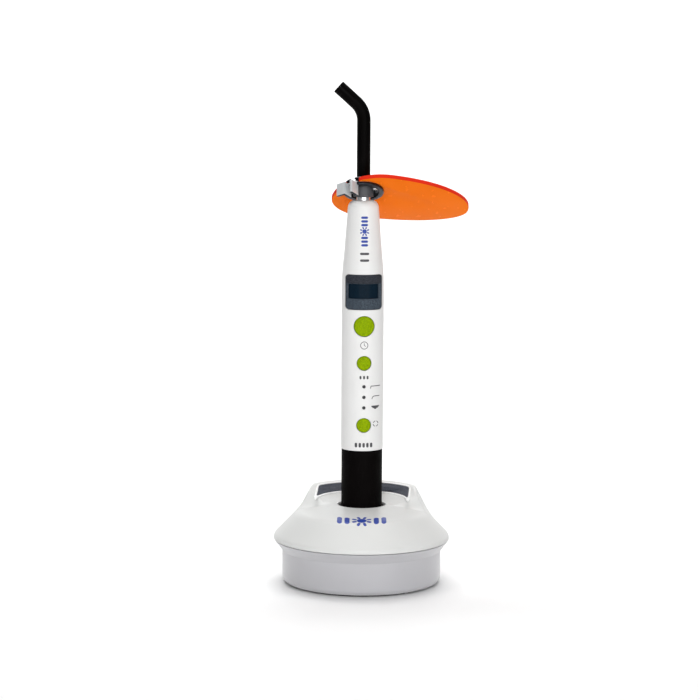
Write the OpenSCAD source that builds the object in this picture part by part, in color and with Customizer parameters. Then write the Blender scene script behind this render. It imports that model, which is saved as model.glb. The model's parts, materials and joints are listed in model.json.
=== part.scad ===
// Cordless dental curing light standing in its round charging base.
// The origin is the centre of the base's underside, +Z is up along the handpiece,
// and the handpiece's buttons face -Y.

/* [Base] */
// Largest radius of the white cover, at the seam
base_r = 52.4; // [50:0.1:56]
// Height of the seam between the white cover and the grey tray
seam_z = 27.1; // [26:0.1:28]
// Radius of the grey tray's upright wall
tray_r = 47.3; // [46:0.1:47.6]
// Turn of the base about Z under the handpiece, in degrees
base_turn = -9; // [-180:0.1:180]
// Wall thickness of the moulded base parts
base_wall = 2.2; // [1.8:0.1:2.4]
// Thickness of the non-slip pad under the tray
pad_h = 1.2; // [0.8:0.1:1.6]

/* [Handpiece] */
// Radius of the white body
body_r = 12.5; // [12.4:0.05:12.6]
// Radius of the black battery pack
pack_r = 12.15; // [12:0.05:12.2]
// Height of the pack's underside as it stands in the base
pack_z = 28.4; // [28.2:0.1:28.6]
// Height where the white body meets the black battery pack
split_z = 81.3; // [80.8:0.1:81.5]
// Height of the rounded top of the nose
nose_z = 229.3; // [229:0.1:229.6]
// Wall thickness of the white shells
shell_wall = 1.9; // [1.7:0.1:2]

/* [Controls] */
// Height of the start button
start_z = 155.6; // [155:0.1:156]
// Radius of the start button
start_r = 6; // [5.5:0.1:6.2]
// Height of the time-setting button
set_z = 133.7; // [133:0.1:134.5]
// Height of the mode button
mode_z = 96.7; // [96.4:0.1:96.8]
// Radius of the two small buttons
small_r = 4.2; // [3.8:0.1:4.4]
// How far a button can be pressed
button_travel = 0.7; // [0.4:0.1:0.7]
// Height of the middle mode dot
dots_z = 113.5; // [113.4:0.1:114]
// Spacing of the mode dots
dots_gap = 6.3; // [6:0.1:6.4]
// Middle height of the screen window
window_z = 175.7; // [175:0.1:176]
// Height of the screen window
window_h = 20.7; // [20:0.1:21]
// Width of the screen window, seen from the front
window_w = 21.5; // [20:0.1:21.6]

/* [Light guide] */
// Radius of the black jacket
guide_r = 4; // [3.9:0.05:4.05]
// Radius of the steel ferrule
ferrule_r = 4.2; // [4.1:0.05:4.3]
// Height where the ferrule ends and the black jacket starts
jacket_z = 242.5; // [241.5:0.1:244]
// Height where the bend starts
bend_z = 276; // [270:0.1:290]
// Radius of the bend at its centre line
bend_r = 14.2; // [12:0.1:20]
// Angle of the bend
bend_angle = 47.9; // [44:0.1:47.9]
// Length of the straight tip after the bend
tip_len = 13.9; // [12:0.1:18]
// Direction of the bend about Z: 0 points the tip to -X
guide_turn = -4.5; // [-180:0.1:180]

/* [Glare shield] */
// Height of the tilt axis
shield_z = 236.2; // [236:0.1:237]
// Turn of the shield and clip about Z
shield_turn = -4.5; // [-180:0.1:180]
// Tilt of the plate, with its front edge up
shield_tilt = 30; // [20:0.5:30]
// Length of the plate's oval to the right of its widest line
plate_right = 56; // [50:0.1:58]
// Length of the oval to the left of its widest line
plate_left = 27; // [26:0.1:32]
// Depth of the oval in front of its long line
plate_front = 32.8; // [32:0.1:36]
// Depth of the oval behind its long line
plate_back = 22.5; // [20:0.1:26]
// Where the oval's two lines cross, to the side of the clip
plate_x = 8; // [7:0.1:10]
// Where the oval's two lines cross, behind the clip
plate_y = 16; // [13:0.1:16.2]
// Turn of the oval in its own plane
plate_turn = 13.5; // [8:0.1:16]
// Thickness of the plate
plate_t = 2.5; // [2:0.1:2.6]
// Width of the slot that leads from the edge to the clip
slot_w = 9; // [8:0.1:10]
// Direction of the slot in the plate's plane
slot_dir = -126; // [-140:1:-110]

/* [Hidden] */
$fn = 96;
eps = 0.01;
gap = 0.1;

// Base cover: a rim arc, a straight flank, a shoulder arc and a shallow cone up to the socket
flank_angle = 44;
rim_r = 5;
shoulder_r = 9;
flank_len = 14.5;
shoulder_top_angle = 80;
cover_z = seam_z + 0.05;
rim_c = [base_r - rim_r, seam_z + 0.1];
flank_end = rim_c + rim_r * [cos(flank_angle), sin(flank_angle)]
    + flank_len * [-sin(flank_angle), cos(flank_angle)];
shoulder_c = flank_end - shoulder_r * [cos(flank_angle), sin(flank_angle)];
mouth_r = 14.2;
mouth_z = 47.5;

// Raised rear part of the cover, as a section turned about Z
hump_top = 55.6;
hump_half_w = 31.4;
hump_y0 = 6.4;
hump_front = 0.83;
hump_flank = 0.52;
hump_section = [[16.5, 42], [16.5, 47.12], [26.4, 49.85], [33.5, 54.9], [35, hump_top], [36.6, 55.2],
    [37.8, 54], [40.5, 47.5], [45, 37.2], [43, 36], [24, 36]];
hump_cavity = [[19, 45.4], [27, 47.5], [33.8, 51.9], [34.8, 52.6], [35.6, 52.2], [38.2, 46.4], [41, 40],
    [39, 36], [19, 36]];

// How far below the hump's top, and how far out, its front and flanks are cut
sweep_depth = 26;
sweep_far = 60;

// Window pane in the hump
pane_half_w = 27.5;
pane_y0 = 6.7;
pane_low = [27.3, 50.47];
pane_high = [33.2, 54.69];
pane_t = 1.6;
pane_slope = atan2(pane_high[1] - pane_low[1], pane_high[0] - pane_low[0]);
pane_normal = [-sin(pane_slope), cos(pane_slope)];

// Tray, screws and posts
tray_fillet = 4;
tray_floor_z = pad_h + base_wall;
flare_z = 20.4;
screw_pcr = 38;
tray_boss_h = 2;
screw_head_r = 2.8;
screw_shank_r = 1.45;
pad_r = 41;
tray_boss_r = 5;
cover_post_r = 4;
liner_post_r = 2.4;
post_pcr = 15.5;
post_top_z = 22.1;
lip_r = [46.9, 48.2];
lip_top_z = seam_z + 2.3;
inner_flare_z = [21.5, 24.2];
inlet_hole_r = 4;
board_z = 8;
board_t = 1.6;
board_half_w = 12;
board_y = [-11, 33];
board_screw_xy = [[-9, -8], [9, -8], [-9, 29.5], [9, 29.5]];
board_post_r = 2.4;
board_screw_r = 0.9;
board_screw_head = [1.8, 1.3];
chip_size = [10, 7, 1.6];
chip_y = 15.5;
chip_leg = 1.2;

// Indicator board and its lights, under the window
indicator_y = 28.5;
indicator_z = 44.6;
indicator_size = [24, 7.2, 1.2];
indicator_post = [1.5, 7.6];
indicator_post_xy = [9, 34];
led_r = 1.5;
led_gap = 7;
led_y = 30.4;

// Socket liner and the sprung contact pins
liner_in_r = pack_r + 0.3;
liner_out_r = mouth_r - 0.2;
liner_floor_z = 26.4;
ledge_r = 10.2;
pin_xy = [[0, 0], [0, 7]];
pin_r = 1;
pin_top_z = pack_z - 0.05;
pin_stop_z = 21;
spring_z = 11.2;
spring_wire = 0.22;
spring_turns = 9;
block_xy = [-4, -4];
block_size = [8, 15];
spring_bore_r = 1.7;
spring_r = 1.25;
pin_collar = [1.55, 1.2];
pin_tail = [0.75, 5];

// Power inlet in the rear wall
jack_z = 15;
jack_bore_r = 2.8;
jack_pin_r = 1;
jack_nose_r = 3.8;
jack_size = [9.2, 10.3, 10.8];
jack_y = [34, 44, 46.9];

// Handpiece shells: outer outline of the nose, then the cavity inside it
taper_z = 176;
nose_round = 4.4;
nose_outline = [[body_r, taper_z], [12.2, 187], [11.1, 199.5], [10.2, 211], [9.5, 220]];
nose_arc_c = [4.7, nose_z - nose_round];
cavity_top_z = 226.5;
cavity_shoulder = [[7.3, 223.5], [7, cavity_top_z]];
rib_z = [213.5, 221];
ferrule_hole_r = 4.6;
neck_r = 10.3;
neck_top_z = 88;
bush_in_r = ferrule_r + 0.06;
bush_out_r = 6.5;
bush_z = 208;
ferrule_z = 210.6;
groove_z = 216;
groove_r = 3.27;
seal_r = 0.46;
bush_flange = [7.9, 2];

// Light guide: the fibre core, and how the bend laps over the straight stretches
core_r = 3.2;
bend_step = 0.004;
lap = 0.02;

// Controls inside the handpiece
pcb_y = -3;
pcb_t = 1.2;
pcb_z = [91.6, 186.5];
switch_h = 3.2;
button_back_y = pcb_y - switch_h - button_travel - 0.1;
button_proud = 0.6;
button_gap = 0.25;
opening_y = -5;
window_corner = 2;
window_proud = 0.05;
window_t = 1.7;
lcd_size = [15, 1.8, 16];
lcd_back = [13, 14];
lcd_y = -7.2;
switch_w = 6;
button_flange = 0.7;
shell_screw_z = [104, 144];
boss_r = 1.7;
rear_post_r = 3;
post_gap_y = [3, 3.1];
shell_screw_r = 0.95;
shell_screw_head_r = 1.9;
shell_screw_head_y = [10.05, 11.5];
dot_r = 1;
mcu_w = 8;
mcu_z = 128;
coil_size = [8, 4.5];
coil_z = 178;
buzzer_z = 160;
buzzer_r = 5;
heat_z = [187.5, 200.4];
heat_r = 8.8;
fin_pitch = 2.8;
led_board_r = 8;
die_w = 3.6;
mirror_z = [202.8, 207.8];
mirror_r = 6.2;
wire_r = 0.6;

// Battery pack
cell_r = 9.2;
cell_z = 32.4;
cell_len = 49.5;
cell_button = [3, 1.2];
cap_t = 1;
terminal_xy = [4, 2];
terminal_r = 1.2;
neck_cavity_z = 86;
contact_disc_r = 2.6;
contact_ring_r = [5.4, 8.6];
contact_t = 1.15;
protection_z = 82.6;
protection_r = 8.8;

// Glare shield clip
collar_out_r = 6;
collar_below = 5;
collar_above = 3.6;
collar_split = 1.6;
ring_in_r = 9;
ring_out_r = 12;
ring_hub_r = 10.2;
ring_low = -3;
ring_high = 2.2;
clip_gap = 3.4;
pivot_r = 1;
ear_t = 1.7;
ear_end = 16.4;
ear_low = -9.6;
ear_high = -1.6;
tab_w = 6;

// Points along an arc in the plane of a section
function arc(c, r, a0, a1, n = 8) = [for (i = [0:n]) c + r * [cos(a0 + (a1 - a0) * i / n),
    sin(a0 + (a1 - a0) * i / n)]];

// Cover outline from the seam to the socket, drawn inwards by t
function cover_outline(t) = concat(
    arc(rim_c, rim_r - t, -1, flank_angle, 6),
    arc(shoulder_c, shoulder_r - t, flank_angle, shoulder_top_angle, 8),
    [[mouth_r, mouth_z - t]]
);

// Outer outline of the handpiece shells from the pack up to the ferrule hole
function shell_outline() = concat(
    [[body_r, split_z]],
    nose_outline,
    arc(nose_arc_c, nose_round, 8, 90, 8)
);

// One ring of points around a helix, for a coil spring
function helix_ring(i, steps, r, wire, h, turns, sides) =
    let (a = 360 * turns * i / steps, z = h * i / steps)
    [for (k = [0:sides - 1]) let (b = 360 * k / sides)
        [(r + wire * cos(b)) * cos(a), (r + wire * cos(b)) * sin(a), z + wire * sin(b)]];

// Coil spring standing on z = 0
module coil_spring(r, wire, h, turns) {
    sides = 6;
    steps = turns * 14;
    points = [for (i = [0:steps]) each helix_ring(i, steps, r, wire, h, turns, sides)];
    walls = [for (i = [0:steps - 1]) for (k = [0:sides - 1])
        [i * sides + k, (i + 1) * sides + k, (i + 1) * sides + (k + 1) % sides, i * sides + (k + 1) % sides]];
    start = [for (k = [0:sides - 1]) k];
    finish = [for (k = [sides - 1:-1:0]) steps * sides + k];
    polyhedron(points, concat([start], walls, [finish]));
}

// Tube standing at height z
module tube(r_out, r_in, z, h) {
    translate([0, 0, z])
        difference() {
            cylinder(r = r_out, h = h);
            translate([0, 0, -eps])
                cylinder(r = r_in, h = h + 2 * eps);
        }
}

// Cylinder along Y from y0 to y1 at the height z
module across(r, z, y0, y1, x = 0) {
    translate([x, y0, z])
        rotate([-90, 0, 0])
            cylinder(r = r, h = y1 - y0);
}

// Rectangle with round corners, centred
module round_rect(w, h, r) {
    square([w - 2 * r, h], center = true);
    square([w, h - 2 * r], center = true);
    for (x = [-1, 1], y = [-1, 1])
        translate([x * (w / 2 - r), y * (h / 2 - r)])
            circle(r = r, $fn = 32);
}

// Round-cornered bar along Y, seen from the front as w by h
module front_bar(w, h, r, z, y0, y1) {
    translate([0, y1, z])
        rotate([90, 0, 0])
            linear_extrude(y1 - y0)
                round_rect(w, h, r);
}

// Puts its children in the base's own frame
module in_base() {
    rotate([0, 0, base_turn])
        children();
}

// Repeats its children at the four cover screws
module at_base_screws() {
    for (a = [45:90:315])
        rotate([0, 0, a])
            translate([screw_pcr, 0, 0])
                children();
}

// Turns a section about Z and keeps the part behind y0 and within half_w of the middle.
// The front and the flanks lean in by the given run per height, measured at the top.
module rear_sweep(section, half_w, y0, front = 0, flank = 0) {
    low = hump_top - sweep_depth;
    foot = half_w + flank * sweep_depth;
    intersection() {
        rotate_extrude()
            polygon(section);
        rotate([90, 0, 0])
            translate([0, 0, -sweep_far])
                linear_extrude(2 * sweep_far)
                    polygon([[-foot, low], [foot, low], [half_w, hump_top + eps], [-half_w, hump_top + eps]]);
        rotate([90, 0, 90])
            translate([0, 0, -sweep_far])
                linear_extrude(2 * sweep_far)
                    polygon([[y0 - front * sweep_depth, low], [sweep_far, low], [sweep_far, hump_top + 1],
                        [y0, hump_top + 1]]);
    }
}

// Section of the window pane, thick by t below the surface and up by lift
function pane_section(lift, t) = [
    pane_low + lift * pane_normal,
    pane_high + lift * pane_normal,
    pane_high - t * pane_normal,
    pane_low - t * pane_normal
];

module cover_solid() {
    rotate_extrude()
        polygon(concat([[0, cover_z], [base_r, cover_z]], cover_outline(0), [[0, mouth_z]]));
    rear_sweep(hump_section, hump_half_w, hump_y0, hump_front, hump_flank);
}

module base_dome() {
    color([0.9, 0.91, 0.92])
    in_base()
    difference() {
        union() {
            difference() {
                cover_solid();
                rotate_extrude()
                    polygon(concat([[0, cover_z - eps], [base_r - base_wall, cover_z - eps]],
                        cover_outline(base_wall), [[0, mouth_z - base_wall]]));
                rear_sweep(hump_cavity, hump_half_w - base_wall / cos(atan(hump_flank)),
                    hump_y0 + base_wall / cos(atan(hump_front)), hump_front, hump_flank);
            }
            intersection() {
                cover_solid();
                at_base_screws()
                    translate([0, 0, tray_floor_z])
                        cylinder(r = cover_post_r, h = mouth_z);
            }
            for (x = [-1, 1] * indicator_post_xy[0])
                translate([x, indicator_post_xy[1], indicator_z + indicator_size[2] + gap])
                    cylinder(r = indicator_post[0], h = indicator_post[1], $fn = 32);
            at_base_screws()
                translate([0, 0, tray_floor_z + tray_boss_h + gap])
                    cylinder(r = cover_post_r, h = cover_z - tray_floor_z);
        }
        translate([0, 0, seam_z + 3])
            cylinder(r = mouth_r, h = mouth_z);
        rear_sweep(pane_section(2, pane_t + 1.8), pane_half_w + gap, pane_y0 - gap);
        at_base_screws()
            translate([0, 0, tray_floor_z - 1])
                cylinder(r = screw_shank_r + 0.05, h = 15);
    }
}

module base_tray() {
    color([0.7, 0.7, 0.72])
    in_base()
    difference() {
        union() {
            rotate_extrude()
                polygon(concat(
                    [[0, pad_h]],
                    arc([tray_r - tray_fillet, pad_h + tray_fillet], tray_fillet, -90, 0, 8),
                    [[tray_r, flare_z], [base_r - 0.5, seam_z - 0.7], [base_r - 0.2, seam_z - 0.1]],
                    [[lip_r[1], seam_z - 0.1], [lip_r[1], lip_top_z], [lip_r[0], lip_top_z]],
                    [[lip_r[0], inner_flare_z[1]], [tray_r - base_wall, inner_flare_z[0]]],
                    [[tray_r - base_wall, tray_floor_z + 2]],
                    [[tray_r - base_wall - 2, tray_floor_z], [0, tray_floor_z]]
                ));
            at_base_screws()
                translate([0, 0, pad_h + 1])
                    cylinder(r = tray_boss_r, h = base_wall - 1 + tray_boss_h);
            for (a = [0, 180, 270])
                rotate([0, 0, a])
                    translate([post_pcr, 0, pad_h + 1])
                        cylinder(r = liner_post_r, h = post_top_z - pad_h - 1);
            for (p = board_screw_xy)
                translate([p[0], p[1], pad_h + 1])
                    cylinder(r = board_post_r, h = board_z - pad_h - 1);
        }
        at_base_screws() {
            translate([0, 0, pad_h - 1])
                cylinder(r = screw_head_r + 0.3, h = 3.2);
            cylinder(r = screw_shank_r + 0.2, h = 20);
        }
        for (p = board_screw_xy)
            translate([p[0], p[1], pad_h + 2])
                cylinder(r = board_screw_r + 0.05, h = board_z, $fn = 32);
        across(inlet_hole_r, jack_z, 40, 60);
    }
}

module non_slip_pad() {
    color([0.13, 0.13, 0.14])
    in_base()
    difference() {
        cylinder(r = pad_r, h = pad_h);
        at_base_screws()
            translate([0, 0, -1])
                cylinder(r = screw_head_r + 0.4, h = 4);
    }
}

module base_screws() {
    color([0.6, 0.6, 0.62])
    in_base()
    at_base_screws()
        difference() {
            union() {
                translate([0, 0, pad_h + 0.4])
                    cylinder(r = screw_head_r, h = 1.7);
                translate([0, 0, pad_h + 2])
                    cylinder(r = screw_shank_r, h = 12.5);
            }
            translate([-1.8, -0.3, pad_h])
                cube([3.6, 0.6, 1]);
            translate([-0.3, -1.8, pad_h])
                cube([0.6, 3.6, 1]);
        }
}

module socket_liner() {
    color([0.06, 0.06, 0.07])
    in_base()
    difference() {
        rotate_extrude()
            polygon([[0, post_top_z + 0.1], [18, post_top_z + 0.1], [18, liner_floor_z - 2],
                [liner_out_r, liner_floor_z - 2], [liner_out_r, mouth_z + 0.1],
                [liner_out_r - 0.4, mouth_z + 0.2], [liner_in_r, mouth_z - 3], [liner_in_r, pack_z - 0.1],
                [ledge_r, pack_z - 0.1], [ledge_r, liner_floor_z], [0, liner_floor_z]]);
        for (p = pin_xy)
            translate([p[0], p[1], 20])
                cylinder(r = pin_r + 0.35, h = 10, $fn = 32);
    }
}

module charge_window() {
    color([0.29, 0.3, 0.36])
    in_base()
    rear_sweep(pane_section(0, pane_t), pane_half_w, pane_y0);
}

module indicator_board() {
    color([0.1, 0.4, 0.2])
    in_base()
    translate([-indicator_size[0] / 2, indicator_y, indicator_z])
        cube(indicator_size);
}

module charge_leds() {
    color([0.9, 0.9, 0.85])
    in_base()
    for (i = [-1:1])
        translate([i * led_gap, led_y, indicator_z + indicator_size[2] + gap / 2])
            union() {
                cylinder(r = led_r, h = 1.2, $fn = 32);
                translate([0, 0, 1.2])
                    intersection() {
                        sphere(r = led_r, $fn = 32);
                        cylinder(r = 2 * led_r, h = 2 * led_r);
                    }
            }
}

module charger_board() {
    color([0.1, 0.4, 0.2])
    in_base()
    difference() {
        translate([-board_half_w, board_y[0], board_z + 0.05])
            cube([2 * board_half_w, board_y[1] - board_y[0], board_t - 0.1]);
        for (p = board_screw_xy)
            translate([p[0], p[1], 0])
                cylinder(r = board_screw_r + 0.2, h = 20, $fn = 32);
    }
}

module charger_chip() {
    color([0.08, 0.08, 0.09])
    in_base()
    union() {
        translate([-chip_size[0] / 2, chip_y, board_z + board_t])
            cube(chip_size);
        for (i = [-2:2])
            translate([2 * i - 0.4, chip_y - chip_leg, board_z + board_t])
                cube([0.8, chip_size[1] + 2 * chip_leg, 0.5]);
    }
}

module board_screws() {
    color([0.62, 0.62, 0.64])
    in_base()
    for (p = board_screw_xy)
        translate([p[0], p[1], 0])
            union() {
                translate([0, 0, board_z + board_t])
                    cylinder(r = board_screw_head[0], h = board_screw_head[1], $fn = 32);
                translate([0, 0, board_z - 4])
                    cylinder(r = board_screw_r, h = board_t + 4.1, $fn = 32);
            }
}

module contact_block() {
    color([0.16, 0.15, 0.14])
    in_base()
    difference() {
        translate([block_xy[0], block_xy[1], board_z + board_t])
            cube([block_size[0], block_size[1], post_top_z - board_z - board_t]);
        for (p = pin_xy)
            translate([p[0], p[1], 0]) {
                translate([0, 0, spring_z - 0.3])
                    cylinder(r = spring_bore_r, h = pin_stop_z + 0.05 - spring_z + 0.3, $fn = 48);
                cylinder(r = pin_r + 0.06, h = 40, $fn = 48);
            }
        for (p = pin_xy)
            translate([p[0], p[1], board_z])
                cylinder(r = 0.6, h = 3, $fn = 24);
    }
}

module contact_pins() {
    color([0.85, 0.68, 0.3])
    in_base()
    for (p = pin_xy)
        translate([p[0], p[1], 0])
            union() {
                translate([0, 0, pin_stop_z - eps])
                    cylinder(r = pin_r, h = pin_top_z - pin_stop_z - 0.5, $fn = 48);
                translate([0, 0, pin_top_z - 0.5 - 2 * eps])
                    cylinder(r1 = pin_r, r2 = pin_r - 0.4, h = 0.5 + 2 * eps, $fn = 48);
                translate([0, 0, pin_stop_z - pin_collar[1]])
                    cylinder(r = pin_collar[0], h = pin_collar[1], $fn = 48);
                translate([0, 0, pin_stop_z - pin_tail[1]])
                    cylinder(r = pin_tail[0], h = pin_tail[1] - 1, $fn = 48);
            }
}

module contact_springs() {
    color([0.75, 0.75, 0.77])
    in_base()
    for (p = pin_xy)
        translate([p[0], p[1], spring_z])
            coil_spring(spring_r, spring_wire, pin_stop_z - pin_collar[1] - spring_z - 2 * spring_wire,
                spring_turns);
}

module dc_jack() {
    color([0.1, 0.1, 0.11])
    in_base()
    union() {
        difference() {
            union() {
                translate([-jack_size[0] / 2, jack_y[0], board_z + board_t])
                    cube(jack_size);
                across(jack_nose_r, jack_z, jack_y[1], jack_y[2]);
            }
            across(jack_bore_r, jack_z, jack_y[0] + 3.5, jack_y[2] + 10);
        }
        across(jack_pin_r, jack_z, jack_y[0] + 2, jack_y[2] - 1.4);
    }
}

module battery_case() {
    color([0.05, 0.05, 0.06])
    difference() {
        union() {
            tube(pack_r, cell_r + 0.35, pack_z + cap_t, split_z - 0.1 - pack_z - cap_t);
            translate([0, 0, split_z - 3])
                cylinder(r = neck_r, h = neck_top_z - split_z + 3);
        }
        translate([0, 0, pack_z])
            cylinder(r = cell_r + 0.35, h = neck_cavity_z - pack_z);
        at_terminals(80)
            cylinder(r = terminal_r + 0.05, h = 20, $fn = 32);
    }
}

module battery_bottom_cap() {
    color([0.05, 0.05, 0.06])
    difference() {
        union() {
            translate([0, 0, pack_z])
                cylinder(r1 = pack_r - 0.6, r2 = pack_r, h = 0.6 + eps);
            translate([0, 0, pack_z + 0.6])
                cylinder(r = pack_r, h = cap_t - 0.6);
            translate([0, 0, pack_z + cap_t - eps])
                cylinder(r = cell_r + 0.3, h = 2.4);
        }
        translate([0, 0, pack_z - 1])
            cylinder(r = contact_disc_r + 0.05, h = contact_t + 1.05);
        tube(contact_ring_r[1] + 0.05, contact_ring_r[0] - 0.05, pack_z - 1, contact_t + 1.05);
    }
}

module charge_contacts() {
    color([0.85, 0.68, 0.3])
    union() {
        translate([0, 0, pack_z])
            cylinder(r = contact_disc_r, h = contact_t);
        tube(contact_ring_r[1], contact_ring_r[0], pack_z, contact_t);
    }
}

module battery_cell() {
    color([0.15, 0.3, 0.6])
    union() {
        translate([0, 0, cell_z])
            cylinder(r = cell_r, h = cell_len - cell_button[1]);
        translate([0, 0, cell_z + cell_len - cell_button[1] - eps])
            cylinder(r = cell_button[0], h = cell_button[1]);
    }
}

module protection_board() {
    color([0.1, 0.4, 0.2])
    union() {
        translate([0, 0, protection_z])
            cylinder(r = protection_r, h = 1.1);
        translate([-3, -4, protection_z + 1])
            cube([5, 3, 1]);
    }
}

module battery_terminals() {
    color([0.85, 0.68, 0.3])
    at_terminals(protection_z + 1.15)
        cylinder(r = terminal_r, h = neck_top_z - protection_z - 1.15, $fn = 32);
}

// Repeats its children at the two terminals, at the height z
module at_terminals(z) {
    for (side = [-1, 1])
        translate([side * terminal_xy[0], terminal_xy[1], z])
            children();
}

// Both white shells in one, with their cavity, ribs and holes
module whole_shell() {
    difference() {
        rotate_extrude()
            polygon(concat([[0, split_z]], shell_outline(), [[0, nose_z]]));
        difference() {
            rotate_extrude()
                polygon(concat([[0, split_z - 1], [body_r - shell_wall, split_z - 1]],
                    [for (p = nose_outline) p - [shell_wall, 0]],
                    cavity_shoulder, [[0, cavity_top_z]]));
            for (z = rib_z)
                tube(10, bush_out_r + 0.1, z, 1.5);
        }
        translate([0, 0, rib_z[0]])
            cylinder(r = ferrule_hole_r, h = 40);
    }
}

module front_shell() {
    color([0.95, 0.95, 0.96])
    difference() {
        union() {
            intersection() {
                whole_shell();
                translate([-20, -20 - gap / 2, split_z])
                    cube([40, 20, 160]);
            }
            for (z = shell_screw_z)
                across(boss_r, z, -body_r + shell_wall - 0.3, post_gap_y[0]);
        }
        front_bar(window_w + 2 * gap, window_h + 2 * gap, window_corner + gap, window_z,
            -20, opening_y + gap);
        across(start_r + button_gap, start_z, -20, opening_y);
        across(small_r + button_gap, set_z, -20, opening_y);
        across(small_r + button_gap, mode_z, -20, opening_y);
        for (i = [-1:1])
            across(dot_r + 0.05, dots_z + i * dots_gap, -20, opening_y);
        for (z = shell_screw_z)
            across(shell_screw_r + 0.07, z, -7, 5);
    }
}

module rear_shell() {
    color([0.95, 0.95, 0.96])
    difference() {
        union() {
            intersection() {
                whole_shell();
                translate([-20, gap / 2, split_z])
                    cube([40, 20, 160]);
            }
            for (z = shell_screw_z)
                across(rear_post_r, z, post_gap_y[1], body_r - shell_wall + 0.2);
        }
        for (z = shell_screw_z) {
            across(shell_screw_r + 0.15, z, 0, 20);
            across(shell_screw_head_r + 0.2, z, shell_screw_head_y[0] - 0.05, 20);
        }
    }
}

module shell_screws() {
    color([0.62, 0.62, 0.64])
    for (z = shell_screw_z)
        difference() {
            union() {
                across(shell_screw_head_r, z, shell_screw_head_y[0], shell_screw_head_y[1]);
                across(shell_screw_r, z, -6, shell_screw_head_y[0] + 0.05);
            }
            translate([-1.2, 11, z - 0.2])
                cube([2.4, 1, 0.4]);
            translate([-0.2, 11, z - 1.2])
                cube([0.4, 1, 2.4]);
        }
}

module lcd_window() {
    color([0.2, 0.24, 0.3])
    intersection() {
        rotate_extrude()
            polygon(concat(
                [[body_r + window_proud, window_z - window_h]],
                [for (p = nose_outline) p + [window_proud, 0]],
                [for (i = [len(nose_outline) - 1:-1:0]) nose_outline[i] - [window_t, 0]],
                [[body_r - window_t, window_z - window_h]]
            ));
        front_bar(window_w, window_h, window_corner, window_z, -20, opening_y);
    }
}

module lcd_module() {
    color([0.07, 0.13, 0.18])
    union() {
        translate([-lcd_size[0] / 2, lcd_y, window_z - lcd_size[2] / 2])
            cube(lcd_size);
        translate([-lcd_back[0] / 2, lcd_y + lcd_size[1] - 0.05, window_z - lcd_back[1] / 2])
            cube([lcd_back[0], pcb_y - lcd_y - lcd_size[1] + 0.05, lcd_back[1]]);
    }
}

// Push button: a round cap flush with the body's curve and a flange behind the wall
module push_button(r, z) {
    intersection() {
        across(r, z, -body_r - 3, button_back_y);
        translate([0, 0, z - 10])
            cylinder(r = body_r + button_proud, h = 20);
    }
    intersection() {
        across(r + button_flange, z, -body_r, button_back_y);
        translate([0, 0, z - 10])
            cylinder(r = body_r - shell_wall - 0.15, h = 20);
    }
}

module start_button() {
    color([0.6, 0.75, 0.05])
    push_button(start_r, start_z);
}

module set_button() {
    color([0.6, 0.75, 0.05])
    push_button(small_r, set_z);
}

module mode_button() {
    color([0.6, 0.75, 0.05])
    push_button(small_r, mode_z);
}

module tact_switches() {
    color([0.2, 0.2, 0.22])
    for (z = [start_z, set_z, mode_z])
        union() {
            translate([-switch_w / 2, pcb_y - 2, z - switch_w / 2])
                cube([switch_w, 2, switch_w]);
            across(1.7, z, pcb_y - switch_h, pcb_y - 1.9);
        }
}

module mode_light_pipes() {
    color([0.05, 0.05, 0.06])
    for (i = [-1:1])
        intersection() {
            across(dot_r, dots_z + i * dots_gap, -20, pcb_y - 1.3);
            translate([0, 0, dots_z - 20])
                cylinder(r = body_r + 0.05, h = 40);
        }
}

module main_board() {
    color([0.1, 0.4, 0.2])
    difference() {
        translate([-9, pcb_y, pcb_z[0]])
            cube([18, pcb_t, pcb_z[1] - pcb_z[0]]);
        for (z = shell_screw_z)
            across(boss_r + 0.2, z, -6, 2);
    }
}

module microcontroller() {
    color([0.08, 0.08, 0.09])
    union() {
        translate([-mcu_w / 2, pcb_y + pcb_t + 0.05, mcu_z - mcu_w / 2])
            cube([mcu_w, 1.5, mcu_w]);
        for (i = [-3:3])
            translate([-mcu_w / 2 - 1, pcb_y + pcb_t + 0.02, mcu_z + 1.05 * i - 0.2])
                cube([mcu_w + 2, 0.4, 0.4]);
    }
}

module driver_inductor() {
    color([0.3, 0.3, 0.33])
    difference() {
        translate([-coil_size[0] / 2, pcb_y + pcb_t + 0.05, coil_z - coil_size[0] / 2])
            cube([coil_size[0], coil_size[1], coil_size[0]]);
        across(coil_size[0] / 2 - 0.8, coil_z, coil_size[1] - 2.5, 9);
    }
}

module buzzer() {
    color([0.12, 0.12, 0.13])
    difference() {
        across(buzzer_r, buzzer_z, pcb_y + pcb_t + 0.05, 2.5);
        across(0.8, buzzer_z, 1.5, 5);
    }
}

module contact_holder() {
    color([0.16, 0.15, 0.14])
    difference() {
        intersection() {
            translate([0, 0, 89])
                cylinder(r = neck_r, h = 2.4);
            translate([-20, -5, 80])
                cube([40, 40, 20]);
        }
        at_terminals(80)
            cylinder(r = terminal_r + 0.1, h = 20, $fn = 32);
    }
}

module handpiece_contacts() {
    color([0.85, 0.68, 0.3])
    at_terminals(neck_top_z)
        union() {
            translate([0, 0, 0.1])
                cylinder(r = terminal_r - 0.2, h = 0.9, $fn = 32);
            translate([0, 0, 0.9])
                cylinder(r = terminal_r + 0.05, h = 4.5, $fn = 32);
            translate([-0.4, -terminal_xy[1] + pcb_y + pcb_t + 0.05, 4.4])
                cube([0.8, terminal_xy[1] - pcb_y - pcb_t - 0.6, 0.8]);
        }
}

// Repeats its children at the two wires of the light source, at the height z
module at_wires(z) {
    for (x = [-terminal_xy[0], terminal_xy[0]])
        translate([x, pcb_y + pcb_t / 2, z])
            children();
}

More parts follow.
